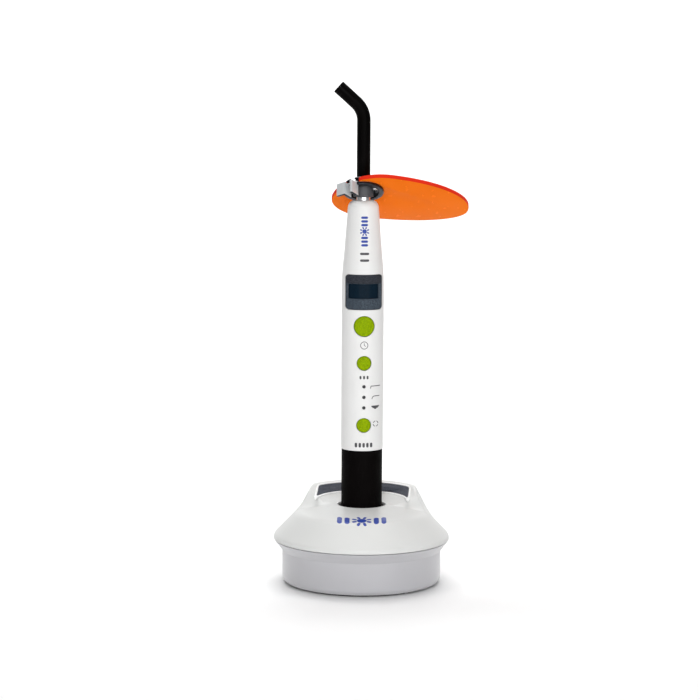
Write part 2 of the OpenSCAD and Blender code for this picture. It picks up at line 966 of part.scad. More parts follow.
module heat_sink() {
    color([0.75, 0.76, 0.78])
    difference() {
        translate([0, 0, heat_z[0]])
            cylinder(r = heat_r, h = heat_z[1] - heat_z[0]);
        for (i = [0:3])
            tube(12, 5.4, heat_z[0] + 1.6 + fin_pitch * i, fin_pitch / 2);
        at_wires(180)
            cylinder(r = wire_r + 0.3, h = 40, $fn = 32);
    }
}

module led_board() {
    color([0.9, 0.9, 0.92])
    difference() {
        translate([0, 0, heat_z[1] + 0.05])
            cylinder(r = led_board_r, h = 1.5);
        at_wires(180)
            cylinder(r = wire_r + 0.15, h = 40, $fn = 32);
    }
}

module led_emitter() {
    color([0.9, 0.85, 0.4])
    union() {
        translate([-die_w / 2, -die_w / 2, heat_z[1] + 1.6])
            cube([die_w, die_w, 0.8]);
        translate([0, 0, heat_z[1] + 2.38])
            intersection() {
                sphere(r = die_w / 2 - 0.3, $fn = 48);
                cylinder(r = die_w, h = die_w);
            }
    }
}

module reflector() {
    color([0.85, 0.86, 0.88])
    rotate_extrude()
        polygon([[2.7, mirror_z[0]], [mirror_r, mirror_z[0]], [mirror_r, mirror_z[1]], [3.7, mirror_z[1]],
            [3.1, (mirror_z[0] + mirror_z[1]) / 2]]);
}

module led_wires() {
    color([0.8, 0.1, 0.1])
    at_wires(pcb_z[1] + 0.05)
        cylinder(r = wire_r, h = heat_z[1] + 1.8 - pcb_z[1], $fn = 24);
}

module guide_bush() {
    color([0.75, 0.76, 0.78])
    union() {
        tube(bush_out_r, bush_in_r, bush_z, cavity_top_z - 0.1 - bush_z);
        tube(bush_flange[0], bush_in_r, bush_z, bush_flange[1]);
    }
}

module guide_o_ring() {
    color([0.1, 0.1, 0.1])
    translate([0, 0, groove_z])
        rotate_extrude()
            translate([groove_r + seal_r + 0.03, 0])
                circle(r = seal_r, $fn = 32);
}

module ferrule() {
    color([0.85, 0.86, 0.88])
    difference() {
        union() {
            tube(ferrule_r, core_r + 0.05, ferrule_z + 0.5, jacket_z - ferrule_z - 1);
            translate([0, 0, jacket_z - 0.5 - eps])
                cylinder(r1 = ferrule_r, r2 = ferrule_r - 0.3, h = 0.5);
            translate([0, 0, ferrule_z])
                cylinder(r1 = ferrule_r - 0.5, r2 = ferrule_r, h = 0.5 + eps);
        }
        translate([0, 0, ferrule_z - 1])
            cylinder(r = core_r + 0.05, h = 60);
        tube(6, groove_r, groove_z - seal_r - 0.06, 2 * seal_r + 0.12);
    }
}

// A round rod that follows the guide's bend from z0 to the tip, longer by over at both ends
module bent_rod(r, z0, over = 0) {
    rotate([0, 0, guide_turn]) {
        translate([0, 0, z0 - over])
            cylinder(r = r, h = bend_z - z0 + over + lap);
        translate([-bend_r, 0, bend_z])
            rotate([90, 0, 0])
                rotate_extrude(angle = bend_angle)
                    translate([bend_r, 0])
                        circle(r = r + bend_step);
        translate([-bend_r * (1 - cos(bend_angle)), 0, bend_z + bend_r * sin(bend_angle)])
            rotate([0, -bend_angle, 0])
                translate([0, 0, -lap])
                    cylinder(r = r, h = tip_len + over + lap);
    }
}

module guide_sheath() {
    color([0.03, 0.03, 0.03])
    difference() {
        bent_rod(guide_r, jacket_z);
        bent_rod(core_r + 0.02, jacket_z, 1);
    }
}

module guide_core() {
    color([0.85, 0.9, 0.92])
    bent_rod(core_r, ferrule_z + 0.3);
}

// Puts its children in the clip's frame, turned with the shield but not tilted
module in_clip() {
    translate([0, 0, shield_z])
        rotate([0, 0, shield_turn])
            children();
}

// Puts its children in the plane of the tilted plate
module in_plate() {
    in_clip()
        rotate([-shield_tilt, 0, 0])
            children();
}

module clip_collar() {
    color([0.3, 0.31, 0.33])
    in_clip()
    difference() {
        tube(collar_out_r, ferrule_r + 0.05, -collar_below, collar_below + collar_above);
        rotate([0, 0, slot_dir])
            translate([0, -collar_split / 2, -10])
                cube([10, collar_split, 20]);
        rotate([0, 90, 0])
            translate([0, 0, -10])
                cylinder(r = pivot_r, h = 20, $fn = 48);
    }
}

module pivot_pins() {
    color([0.7, 0.71, 0.73])
    in_clip()
    for (s = [-1, 1])
        rotate([0, s * 90, 0])
            translate([0, 0, ferrule_r + 0.3])
                cylinder(r = pivot_r, h = ring_hub_r - 0.3 - ferrule_r - 0.3, $fn = 48);
}

// One finger ear beside the clip's gap, with a tab turned out at its end
module ear(side) {
    rotate([0, 0, slot_dir]) {
        translate([ring_in_r + 0.6, side > 0 ? clip_gap / 2 : -clip_gap / 2 - ear_t, ear_low])
            cube([ear_end - ring_in_r - 0.6, ear_t, ear_high - ear_low]);
        translate([ring_in_r + 0.6, side > 0 ? clip_gap / 2 : -clip_gap / 2 - ear_t, ear_high - 1])
            cube([ring_out_r - ring_in_r - 0.8, ear_t, 2]);
        if (side < 0)
            translate([ear_end - 1.6, -clip_gap / 2 - tab_w, ear_low])
                cube([1.6, tab_w, ear_high - ear_low]);
    }
}

module clip_ring() {
    color([0.72, 0.73, 0.75])
    in_plate()
    union() {
        difference() {
            rotate_extrude()
                polygon([[ring_in_r, ring_low], [ring_out_r, ring_low], [ring_out_r, -plate_t / 2 - 0.05],
                    [ring_hub_r, -plate_t / 2 - 0.05], [ring_hub_r, plate_t / 2 + 0.05],
                    [ring_out_r - 0.6, plate_t / 2 + 0.05], [ring_out_r - 0.6, ring_high],
                    [ring_in_r, ring_high]]);
            rotate([0, 0, slot_dir])
                translate([0, -clip_gap / 2, -10])
                    cube([20, clip_gap, 20]);
            rotate([0, 90, 0])
                translate([0, 0, -ring_hub_r - 1])
                    cylinder(r = pivot_r + 0.05, h = 2 * ring_hub_r + 2, $fn = 48);
        }
        ear(1);
        ear(-1);
    }
}

// Point of the plate's oval at the angle a
function oval_point(a) = [
    (cos(a) > 0 ? plate_right : plate_left) * cos(a),
    (sin(a) > 0 ? plate_back : plate_front) * sin(a)
];

module shield_plate() {
    color([0.95, 0.45, 0.1])
    in_plate()
    translate([0, 0, -plate_t / 2])
        linear_extrude(plate_t)
            difference() {
                translate([plate_x, plate_y])
                    rotate(plate_turn)
                        polygon([for (i = [0:119]) oval_point(3 * i)]);
                circle(r = ring_hub_r + 0.1);
                rotate(slot_dir)
                    translate([0, -slot_w / 2])
                        square([60, slot_w]);
            }
}

base_dome();
base_tray();
non_slip_pad();
base_screws();
socket_liner();
charge_window();
indicator_board();
charge_leds();
charger_board();
charger_chip();
board_screws();
contact_block();
contact_pins();
contact_springs();
dc_jack();
battery_case();
battery_bottom_cap();
charge_contacts();
battery_cell();
protection_board();
battery_terminals();
front_shell();
rear_shell();
shell_screws();
lcd_window();
lcd_module();
start_button();
set_button();
mode_button();
tact_switches();
mode_light_pipes();
main_board();
microcontroller();
driver_inductor();
buzzer();
contact_holder();
handpiece_contacts();
heat_sink();
led_board();
led_emitter();
reflector();
led_wires();
guide_bush();
guide_o_ring();
ferrule();
guide_sheath();
guide_core();
clip_collar();
pivot_pins();
clip_ring();
shield_plate();
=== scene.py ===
"""Looks of a cordless dental curing light standing in its round charging base.

Shapes are worked out in millimetres and turned into metres when a mesh is made. The row frame is the
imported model's own: +Z up, and the handpiece's buttons face -Y.
"""
import json
import math

import bmesh
import bpy
from mathutils import Matrix, Vector


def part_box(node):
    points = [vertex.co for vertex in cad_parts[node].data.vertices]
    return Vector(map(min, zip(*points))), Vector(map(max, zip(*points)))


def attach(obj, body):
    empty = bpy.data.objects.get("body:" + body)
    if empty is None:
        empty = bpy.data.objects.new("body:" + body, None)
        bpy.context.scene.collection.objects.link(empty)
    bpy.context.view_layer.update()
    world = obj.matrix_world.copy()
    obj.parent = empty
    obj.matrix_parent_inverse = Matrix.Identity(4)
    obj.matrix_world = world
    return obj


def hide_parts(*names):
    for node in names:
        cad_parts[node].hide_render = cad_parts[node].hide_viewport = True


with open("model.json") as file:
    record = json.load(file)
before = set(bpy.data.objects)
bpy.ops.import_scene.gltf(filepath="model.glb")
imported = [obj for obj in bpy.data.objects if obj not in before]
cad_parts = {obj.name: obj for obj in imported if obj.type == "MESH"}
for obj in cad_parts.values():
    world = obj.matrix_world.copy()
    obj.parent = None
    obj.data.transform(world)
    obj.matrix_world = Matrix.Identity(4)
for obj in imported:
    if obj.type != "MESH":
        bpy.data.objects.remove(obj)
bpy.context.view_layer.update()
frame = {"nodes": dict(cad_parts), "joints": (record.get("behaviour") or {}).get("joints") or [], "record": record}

MM = 0.001


def span(node):
    """Lowest and highest corner of a CAD node, in millimetres."""
    low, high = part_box(node)
    return low / MM, high / MM


def middle(node):
    """Middle of a CAD node's box, in millimetres."""
    low, high = span(node)
    return (low + high) / 2


def joint(name):
    """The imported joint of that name."""
    return next(j for j in frame["joints"] if j["name"] == name)


# ---------------------------------------------------------------- sizes, in millimetres and degrees

# Charging base: its turn about Z, the cover's outline from the seam to the socket, and the raised rear part
BASE_TURN = -9.0
BASE_R = span("base_dome")[1].x
SEAM_Z = 27.15
WALL = 2.2
RIM_R = 5.0
FLANK_ANGLE = 44.0
FLANK_LENGTH = 14.5
SHOULDER_R = 9.0
SHOULDER_TOP = 80.0
MOUTH_R = 14.2
MOUTH_Z = 47.5
MOUTH_LIP = 0.5
HUMP_TOP = span("base_dome")[1].z
HUMP_SHARPNESS = 1.1
HUMP_EDGE_BLEND = 2.2
HUMP_FOOT_BLEND = 4.6
PANE_HALF_W = 27.5
PANE_LOW = Vector((27.3, 50.47))
PANE_HIGH = Vector((33.2, 54.69))
PANE_CORNER = 1.3

# Tray
TRAY_LOW = 1.2
TRAY_R = 47.3
FLARE_Z = 20.4
JACK_Z = 15.0

# Handpiece
PACK_LOW, PACK_HIGH = span("battery_case")
PACK_R = PACK_HIGH.x
BODY_R = 12.5
SHELL_LOW = span("front_shell")[0].z
SHELL_TOP = span("front_shell")[1].z
SHELL_WALL = 1.9
NOSE = [(BODY_R, 176.0), (12.2, 187.0), (11.1, 199.5), (10.2, 211.0), (9.5, 220.0)]
NOSE_ARC = (4.7, 224.9, 4.4)
HOLE_R = 4.6
SPLIT_GAP = 0.05
SCREW_Z = [middle("shell_screws").z - 20.0, middle("shell_screws").z + 20.0]
DOTS = 3
BUTTON_FLANGE = 0.7
DOTS_Z = middle("mode_light_pipes").z
DOTS_GAP = 6.3
WINDOW_LOW, WINDOW_HIGH = span("lcd_window")
WINDOW_Z = middle("lcd_window").z
WINDOW_W = WINDOW_HIGH.x - WINDOW_LOW.x
WINDOW_H = WINDOW_HIGH.z - WINDOW_LOW.z

# Light guide
GUIDE_TURN = -4.5
GUIDE_R = 4.0
CORE_R = 3.2
JACKET_Z = 242.5
BEND_Z = 276.0
BEND_R = 14.2
BEND_ANGLE = 47.9
BEND_STEP = 0.7
TIP_LENGTH = 13.9
FERRULE_LOW, FERRULE_HIGH = span("ferrule")
FERRULE_R = FERRULE_HIGH.x

# Glare shield, in the frame of its tilt joint
TILT = joint("shield_tilt")
SHIELD_TILT = 30.0
SHIELD_AT = Vector(TILT["pos_m"]) / MM
SHIELD_TURN = math.degrees(math.atan2(TILT["axis"][1], TILT["axis"][0]))
PLATE_RIGHT, PLATE_LEFT = 56.0, 27.0
PLATE_FRONT, PLATE_BACK = 32.8, 22.5
PLATE_MIDDLE = Vector((8.0, 16.0))
PLATE_TURN = 13.5
PLATE_T = 2.5
SLOT_W = 9.0
SLOT_DIRECTION = -126.0
RING_IN = 9.0
RING_OUT = 12.0
RING_HUB = 10.2
CLIP_GAP = 3.4
EAR_T = 1.7
EAR_END = 16.4
EAR_Z = (-9.6, -1.6)
TAB_W = 6.0


# ---------------------------------------------------------------- outlines and meshes


def spin(degrees, axis="Z"):
    """Rotation matrix of that many degrees about an axis."""
    return Matrix.Rotation(math.radians(degrees), 4, axis)


def polar(radius, degrees):
    """The point at that radius and angle."""
    return Vector((radius * math.cos(math.radians(degrees)), radius * math.sin(math.radians(degrees))))


def arc(centre, radius, start, end, steps):
    """Points along an arc, both ends included."""
    return [Vector(centre) + polar(radius, start + (end - start) * i / steps) for i in range(steps + 1)]


def line(a, b, steps):
    """Points from a to b, without b."""
    return [Vector(a).lerp(Vector(b), i / steps) for i in range(steps)]


def through(points, steps):
    """Smooth curve through the points, with steps between each two."""
    points = [Vector(p) for p in points]
    ends = [2 * points[0] - points[1], *points, 2 * points[-1] - points[-2]]
    made = []
    for a, b, c, d in zip(ends, ends[1:], ends[2:], ends[3:]):
        for i in range(steps):
            t = i / steps
            made.append(0.5 * (2 * b + (c - a) * t + (2 * a - 5 * b + 4 * c - d) * t * t
                               + (3 * b - a - 3 * c + d) * t ** 3))
    return made + [points[-1]]


def rounded(corners, radius, steps=5):
    """Closed outline with its corners rounded: radius is one number, or one for each corner."""
    corners = [Vector(p) for p in corners]
    radii = radius if isinstance(radius, (list, tuple)) else [radius] * len(corners)
    made = []
    for i, corner in enumerate(corners):
        before, after = corners[i - 1] - corner, corners[(i + 1) % len(corners)] - corner
        half = before.angle(after) / 2
        reach = min(radii[i] / math.tan(half), 0.46 * before.length, 0.46 * after.length)
        if reach < 0.01:
            made.append(corner)
            continue
        r = reach * math.tan(half)
        centre = corner + (before.normalized() + after.normalized()).normalized() * r / math.sin(half)
        a = before.normalized() * reach + corner - centre
        b = after.normalized() * reach + corner - centre
        turn = math.atan2(a.x * b.y - a.y * b.x, a.dot(b))
        for k in range(steps + 1):
            made.append(centre + Matrix.Rotation(turn * k / steps, 2) @ a)
    return made


def round_rect(width, height, radius, centre=(0, 0), side=12, corner=6):
    """Closed outline of a round-cornered rectangle, with side points along each side."""
    w, h = width / 2 - radius, height / 2 - radius
    made = []
    for quarter, (sx, sy) in enumerate(((1, 1), (-1, 1), (-1, -1), (1, -1))):
        made += arc((centre[0] + sx * w, centre[1] + sy * h), radius, 90 * quarter, 90 * quarter + 90, corner)
        ahead = Vector((-w, h) if quarter == 0 else (-w, -h) if quarter == 1 else (w, -h) if quarter == 2
                       else (w, h)) + Vector(centre) + polar(radius, 90 * quarter + 90)
        made += line(made[-1], ahead, side)[1:]
    return made


def skin(loops, closed=False):
    """Points and faces of a solid stretched over loops of equal length, capped at its ends unless closed."""
    rows, count = len(loops), len(loops[0])
    verts = [point for loop in loops for point in loop]
    faces = []
    for i in range(rows if closed else rows - 1):
        a, b = i * count, (i + 1) % rows * count
        faces += [(a + k, a + (k + 1) % count, b + (k + 1) % count, b + k) for k in range(count)]
    if not closed:
        faces += [tuple(range(count)), tuple(range(rows * count - 1, (rows - 1) * count - 1, -1))]
    return verts, faces


def build(name, solids, turn=0.0, place=None, smooth=32.0):
    """Object made of solids, each (points, faces), turned about Z by turn degrees or moved by a matrix."""
    bm = bmesh.new()
    move = place if place is not None else spin(turn)
    for points, faces in solids:
        made = [bm.verts.new((move @ Vector(p)) * MM) for p in points]
        for face in faces:
            bm.faces.new([made[i] for i in face])
    bmesh.ops.remove_doubles(bm, verts=bm.verts, dist=1e-7)
    bmesh.ops.recalc_face_normals(bm, faces=bm.faces)
    mesh = bpy.data.meshes.new(name)
    bm.to_mesh(mesh)
    bm.free()
    obj = bpy.data.objects.new(name, mesh)
    bpy.context.scene.collection.objects.link(obj)
    soften(obj, smooth)
    return obj


def soften(obj, degrees):
    """Smooth shading, with edges sharper than degrees kept sharp."""
    mesh = obj.data
    mesh.polygons.foreach_set("use_smooth", [True] * len(mesh.polygons))
    mesh.set_sharp_from_angle(angle=math.radians(degrees))


def settle(obj):
    """Applies obj's modifiers."""
    seen = obj.evaluated_get(bpy.context.evaluated_depsgraph_get())
    mesh = bpy.data.meshes.new_from_object(seen)
    obj.modifiers.clear()
    obj.data = mesh


def cut(obj, cutters, smooth):
    """Takes the cutters out of obj and deletes them."""
    for cutter in cutters:
        boolean = obj.modifiers.new(cutter.name, "BOOLEAN")
        boolean.operation = "DIFFERENCE"
        boolean.solver = "EXACT"
        boolean.object = cutter
    settle(obj)
    for cutter in cutters:
        bpy.data.objects.remove(cutter)
    soften(obj, smooth)


def bevel(obj, width, segments=3, angle=40.0):
    """Rounds obj's sharp edges by width millimetres."""
    edge = obj.modifiers.new("edge", "BEVEL")
    edge.width = width * MM
    edge.segments = segments
    edge.limit_method = "ANGLE"
    edge.angle_limit = math.radians(angle)
    edge.harden_normals = False
    settle(obj)
    soften(obj, angle)


def turned(section, steps=144, start=0.0, end=360.0):
    """Solid of a closed section of (radius, height) points turned about Z."""
    full = end - start >= 360
    loops = []
    for i in range(steps if full else steps + 1):
        a = math.radians(start + (end - start) * i / steps)
        loops.append([(p[0] * math.cos(a), p[0] * math.sin(a), p[1]) for p in section])
    return skin(loops, closed=full)


def paint(obj, material, test):
    """Gives a further material to the faces whose middle and normal pass the test, both in the row frame."""
    obj.data.materials.append(material)
    index = len(obj.data.materials) - 1
    for face in obj.data.polygons:
        if test(face.center / MM, face.normal):
            face.material_index = index


def piece(obj, body, slot, *nodes, finish=None):
    """Sets what obj rides on and its slot's finish unless it has one, and hides the CAD nodes it stands for."""
    if not obj.data.materials:
        obj.data.materials.append(MATERIALS[finish or slot])
    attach(obj, body)
    if nodes:
        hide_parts(*nodes)
    return obj


# ---------------------------------------------------------------- materials


MATERIALS = {}


def principled(name, **settings):
    """New material kept under its name, its tree, and its shader with the settings on its own sockets."""
    material = bpy.data.materials.new(name)
    MATERIALS[name] = material
    material.use_nodes = True
    shader = material.node_tree.nodes["Principled BSDF"]
    for socket, value in settings.items():
        shader.inputs[socket.replace("_", " ")].default_value = value
    return material, material.node_tree, shader


def coordinates(tree, stretch=(1, 1, 1)):
    """The piece's own coordinates in millimetres, stretched."""
    texture = tree.nodes.new("ShaderNodeTexCoord")
    mapping = tree.nodes.new("ShaderNodeMapping")
    mapping.inputs["Scale"].default_value = [s / MM for s in stretch]
    tree.links.new(texture.outputs["Object"], mapping.inputs["Vector"])
    return mapping.outputs["Vector"]


def noise(tree, size, detail=2.0, stretch=(1, 1, 1)):
    """Noise with features about size millimetres across."""
    node = tree.nodes.new("ShaderNodeTexNoise")
    node.inputs["Scale"].default_value = 1 / size
    node.inputs["Detail"].default_value = detail
    tree.links.new(coordinates(tree, stretch), node.inputs["Vector"])
    return node.outputs["Fac"]


def cells(tree, size, output="Distance", spread=1.0):
    """Cells about size millimetres across."""
    node = tree.nodes.new("ShaderNodeTexVoronoi")
    node.inputs["Scale"].default_value = 1 / size
    node.inputs["Randomness"].default_value = spread
    tree.links.new(coordinates(tree), node.inputs["Vector"])
    return node.outputs[output]


def ramp(tree, value, low, high, start=0.3, end=0.7):
    """value from start to end becomes low to high."""
    node = tree.nodes.new("ShaderNodeMapRange")
    for socket, number in (("From Min", start), ("From Max", end), ("To Min", low), ("To Max", high)):
        node.inputs[socket].default_value = number
    tree.links.new(value, node.inputs["Value"])
    return node.outputs["Result"]


def mixed(tree, factor, a, b):
    """Colour between a and b, each a colour or a socket."""
    node = tree.nodes.new("ShaderNodeMix")
    node.data_type = "RGBA"
    tree.links.new(factor, node.inputs["Factor"])
    for socket, colour in ((node.inputs[6], a), (node.inputs[7], b)):
        if isinstance(colour, bpy.types.NodeSocket):
            tree.links.new(colour, socket)
        else:
            socket.default_value = (*colour, 1)
    return node.outputs[2]


def bumped(tree, shader, height, depth):
    """Relief of depth millimetres, laid over what the shader already has."""
    node = tree.nodes.new("ShaderNodeBump")
    node.inputs["Distance"].default_value = depth * MM
    tree.links.new(height, node.inputs["Height"])
    normal = shader.inputs["Normal"]
    if normal.is_linked:
        tree.links.new(normal.links[0].from_socket, node.inputs["Normal"])
    tree.links.new(node.outputs["Normal"], normal)


def edges(tree, radius):
    """1 on edges within radius millimetres, and 0 on flats."""
    soft = tree.nodes.new("ShaderNodeBevel")
    soft.samples = 4
    soft.inputs["Radius"].default_value = radius * MM
    geometry = tree.nodes.new("ShaderNodeNewGeometry")
    dot = tree.nodes.new("ShaderNodeVectorMath")
    dot.operation = "DOT_PRODUCT"
    tree.links.new(soft.outputs["Normal"], dot.inputs[0])
    tree.links.new(geometry.outputs["Normal"], dot.inputs[1])
    return ramp(tree, dot.outputs["Value"], 1, 0, 0.8, 0.99)


def shade(colour, factor):
    """The colour made lighter or darker by factor."""
    return tuple(min(1.0, c * factor) for c in colour)


def surface(name, colour, roughness, cloud=9.0, variation=0.03, uneven=0.18, wear=(0.2, 1.25),
            grain=0.35, depth=0.003, stretch=(1, 1, 1), **settings):
    """Cloudy colour, lighter worn edges, uneven gloss and a fine grain."""
    material, tree, shader = principled(name, **settings)
    clouds = ramp(tree, noise(tree, cloud, 4), 0, 1)
    base = mixed(tree, clouds, shade(colour, 1 - variation), shade(colour, 1 + variation))
    worn = ramp(tree, edges(tree, 0.3), 0, wear[0], 0, 1)
    tree.links.new(mixed(tree, worn, base, shade(colour, wear[1])), shader.inputs["Base Color"])
    gloss = noise(tree, cloud / 3, 3, stretch)
    rough = ramp(tree, gloss, roughness * (1 - uneven), roughness * (1 + uneven))
    tree.links.new(rough, shader.inputs["Roughness"])
    bumped(tree, shader, noise(tree, grain, 3, stretch), depth)
    return material


def metal(name, colour, roughness, stretch=(1, 1, 1), **options):
    """Bare metal with fine machining lines along the stretched axes."""
    return surface(name, colour, roughness, cloud=5.0, variation=0.06, wear=(0.35, 1.2), grain=0.25,
                   depth=0.0015, stretch=stretch, Metallic=1.0, **options)


def speckled(name, dark, light, size, roughness, **settings):
    """Fine two-tone speckle under a satin surface."""
    material, tree, shader = principled(name, **settings)
    dots = ramp(tree, noise(tree, size, 1), 0, 1, 0.42, 0.58)
    base = mixed(tree, dots, dark, light)
    worn = ramp(tree, edges(tree, 0.25), 0, 0.35, 0, 1)
    tree.links.new(mixed(tree, worn, base, shade(light, 1.5)), shader.inputs["Base Color"])
    rough = ramp(tree, noise(tree, 2.0, 3), roughness * 0.85, roughness * 1.2)
    tree.links.new(rough, shader.inputs["Roughness"])
    bumped(tree, shader, noise(tree, size, 1), 0.002)
    return material


def circuit_board():
    """Green solder mask with paler tracks and tinned pads."""
    material, tree, shader = principled("pcb_green", Coat_Weight=0.3)
    brick = tree.nodes.new("ShaderNodeTexBrick")
    for socket, value in (("Scale", 0.9), ("Mortar Size", 0.06), ("Brick Width", 1.7), ("Row Height", 0.8)):
        brick.inputs[socket].default_value = value
    brick.inputs["Color1"].default_value = (0.01, 0.13, 0.05, 1)
    brick.inputs["Color2"].default_value = (0.012, 0.17, 0.06, 1)
    brick.inputs["Mortar"].default_value = (0.04, 0.3, 0.1, 1)
    tree.links.new(coordinates(tree), brick.inputs["Vector"])
    pads = ramp(tree, cells(tree, 2.6, spread=0.3), 1, 0, 0.16, 0.2)
    tree.links.new(mixed(tree, pads, brick.outputs["Color"], (0.7, 0.68, 0.6)), shader.inputs["Base Color"])
    tree.links.new(ramp(tree, noise(tree, 2), 0.3, 0.5), shader.inputs["Roughness"])
    bumped(tree, shader, brick.outputs["Fac"], 0.02)
    return material


def fibre_glass():
    """Glass rod: fused fibres, each a little lighter or darker than the next."""
    material, tree, shader = principled("fibre_glass", Transmission_Weight=0.35, IOR=1.5, Coat_Weight=0.6)
    tone = ramp(tree, cells(tree, 0.16, "Color"), 0, 1, 0.2, 0.8)
    tree.links.new(mixed(tree, tone, (0.42, 0.5, 0.52), (0.8, 0.86, 0.87)), shader.inputs["Base Color"])
    tree.links.new(ramp(tree, noise(tree, 0.5), 0.08, 0.2), shader.inputs["Roughness"])
    bumped(tree, shader, cells(tree, 0.16), 0.004)
    return material


def acrylic(name, deep, bright, roughness, **settings):
    """Tinted clear plastic with faint flow lines and handling haze."""
    material, tree, shader = principled(name, **settings)
    tint = ramp(tree, noise(tree, 26, 2), 0, 1)
    tree.links.new(mixed(tree, tint, deep, bright), shader.inputs["Base Color"])
    haze = noise(tree, 4, 5, (1, 0.4, 1))
    tree.links.new(ramp(tree, haze, roughness * 0.6, roughness * 1.5), shader.inputs["Roughness"])
    bumped(tree, shader, noise(tree, 3, 2), 0.004)
    return material


def button_rubber():
    """Translucent green silicone with a fine pebbled top."""
    material, tree, shader = principled("button_green", Subsurface_Weight=0.25, Specular_IOR_Level=0.03)
    shader.inputs["Subsurface Radius"].default_value = (0.4, 0.6, 0.02)
    shader.inputs["Subsurface Scale"].default_value = 1.2 * MM
    clouds = ramp(tree, noise(tree, 0.5, 2), 0, 1)
    base = mixed(tree, clouds, (0.15, 0.25, 0.0008), (0.36, 0.51, 0.0015))
    worn = ramp(tree, edges(tree, 0.5), 0, 0.35, 0, 1)
    tree.links.new(mixed(tree, worn, base, (0.5, 0.68, 0.02)), shader.inputs["Base Color"])
    tree.links.new(ramp(tree, noise(tree, 1.0, 3), 0.34, 0.5), shader.inputs["Roughness"])
    bumped(tree, shader, cells(tree, 0.6), 0.12)
    return material


def make_materials():
    """Every finish of the object, under the name of its slot."""
    round_z = (0.05, 0.05, 2.5)
    steel = (0.62, 0.63, 0.65)
    gold = (0.83, 0.6, 0.24)
    surface("dome_white", (0.69, 0.697, 0.686), 0.36, cloud=14, variation=0.008, uneven=0.06,
            wear=(0.25, 1.12), grain=0.5, depth=0.001, Specular_IOR_Level=0.3)
    # brighter white for the window's lip: painted highlight on the cover's own plastic
    surface("lip_white_painted_highlight", (0.96, 0.965, 0.96), 0.3, variation=0.005, grain=0.5, depth=0.001,
            Specular_IOR_Level=0.4)
    surface("tray_grey", (0.45, 0.448, 0.47), 0.42, cloud=16, variation=0.015, uneven=0.08,
            wear=(0.3, 1.2), grain=0.45, depth=0.002, Coat_Weight=0.3, Coat_Roughness=0.3,
            Sheen_Weight=0.45, Sheen_Roughness=0.5)
    surface("pad_rubber", (0.022, 0.022, 0.024), 0.8, variation=0.15, grain=0.7, depth=0.03)
    surface("liner_black", (0.012, 0.012, 0.014), 0.5, variation=0.1, grain=0.3, depth=0.006)
    speckled("window_slate", (0.055, 0.06, 0.075), (0.088, 0.094, 0.114), 0.45, 0.4,
             Specular_IOR_Level=0.05)
    circuit_board()
    surface("led_clear", (0.85, 0.85, 0.8), 0.12, cloud=2, Transmission_Weight=0.6)
    surface("chip_black", (0.02, 0.02, 0.022), 0.55, cloud=2, grain=0.15, depth=0.004)
    metal("contact_gold", gold, 0.22)
    metal("spring_steel", steel, 0.28)
    metal("screw_steel", steel, 0.3, (0.3, 0.3, 2))
    surface("block_black", (0.03, 0.028, 0.026), 0.5, grain=0.3, depth=0.006)
    surface("pack_black", (0.0026, 0.002, 0.002), 0.5, cloud=12, variation=0.2, uneven=0.1,
            wear=(0.3, 3.0), grain=0.3, depth=0.002, Specular_IOR_Level=0.02)
    surface("cell_wrap", (0.03, 0.1, 0.4), 0.3, cloud=6, grain=1.2, depth=0.02)
    surface("body_white", (0.78, 0.78, 0.772), 0.34, cloud=14, variation=0.008, uneven=0.06,
            wear=(0.25, 1.1), grain=0.45, depth=0.001, Specular_IOR_Level=0.3)
    speckled("lcd_bezel", (0.032, 0.043, 0.057), (0.07, 0.09, 0.113), 0.45, 0.38,
             Specular_IOR_Level=0.08)
    speckled("lcd_top", (0.022, 0.025, 0.032), (0.042, 0.046, 0.056), 0.45, 0.38,
             Specular_IOR_Level=0.06)
    surface("lcd_edge", (0.018, 0.022, 0.035), 0.35, cloud=2, grain=0.3, depth=0.003)
    speckled("lcd_glass", (0.003, 0.01, 0.019), (0.005, 0.015, 0.027), 0.3, 0.2,
             Specular_IOR_Level=0.04)
    button_rubber()
    surface("dot_black", (0.02, 0.02, 0.022), 0.35, cloud=1, grain=0.2, depth=0.003)
    metal("sink_aluminium", (0.75, 0.76, 0.78), 0.32, round_z)
    surface("emitter_yellow", (0.8, 0.62, 0.08), 0.25, cloud=1, grain=0.1, depth=0.002)
    metal("reflector_chrome", (0.86, 0.87, 0.89), 0.08, round_z)
    surface("wire_red", (0.5, 0.015, 0.01), 0.4, cloud=2, grain=0.2, depth=0.003)
    metal("bush_steel", steel, 0.25, round_z)
    surface("seal_rubber", (0.015, 0.015, 0.015), 0.55, grain=0.2, depth=0.004)
    metal("ferrule_steel", (0.8, 0.81, 0.83), 0.16, round_z)
    surface("sheath_black", (0.0022, 0.0018, 0.0018), 0.34, cloud=8, variation=0.3, uneven=0.1,
            wear=(0.25, 4.0), grain=0.6, depth=0.001, Specular_IOR_Level=0.02)
    fibre_glass()
    surface("collar_grey", (0.05, 0.052, 0.058), 0.4, wear=(0.4, 2.5), depth=0.004)
    metal("pin_steel", steel, 0.25)
    surface("clip_silver", (0.66, 0.685, 0.7), 0.38, cloud=6, variation=0.03,
            wear=(0.5, 1.25), grain=0.3, depth=0.002, Metallic=0.35)
    # dark metal laid on the clip's downward faces as painted shade
    metal("clip_painted_shade", (0.035, 0.038, 0.046), 0.32, Specular_IOR_Level=0.3)
    acrylic("shield_orange", (0.9, 0.175, 0.006), (0.93, 0.19, 0.008), 0.2,
            Transmission_Weight=0.12, IOR=1.2, Specular_IOR_Level=0.02)
    # deeper red for the plate's rim: painted glow of light carried through the plate's thickness
    acrylic("shield_rim_painted_glow", (0.68, 0.026, 0.01), (0.74, 0.034, 0.013), 0.4,
            Specular_IOR_Level=0.02)
    surface("print_blue", (0.011, 0.045, 0.33), 0.4, cloud=2, variation=0.06, grain=0.2,
            depth=0.002)
    surface("print_grey", (0.06, 0.06, 0.065), 0.45, cloud=2, variation=0.08, grain=0.2,
            depth=0.002)


make_materials()


# ---------------------------------------------------------------- charging base


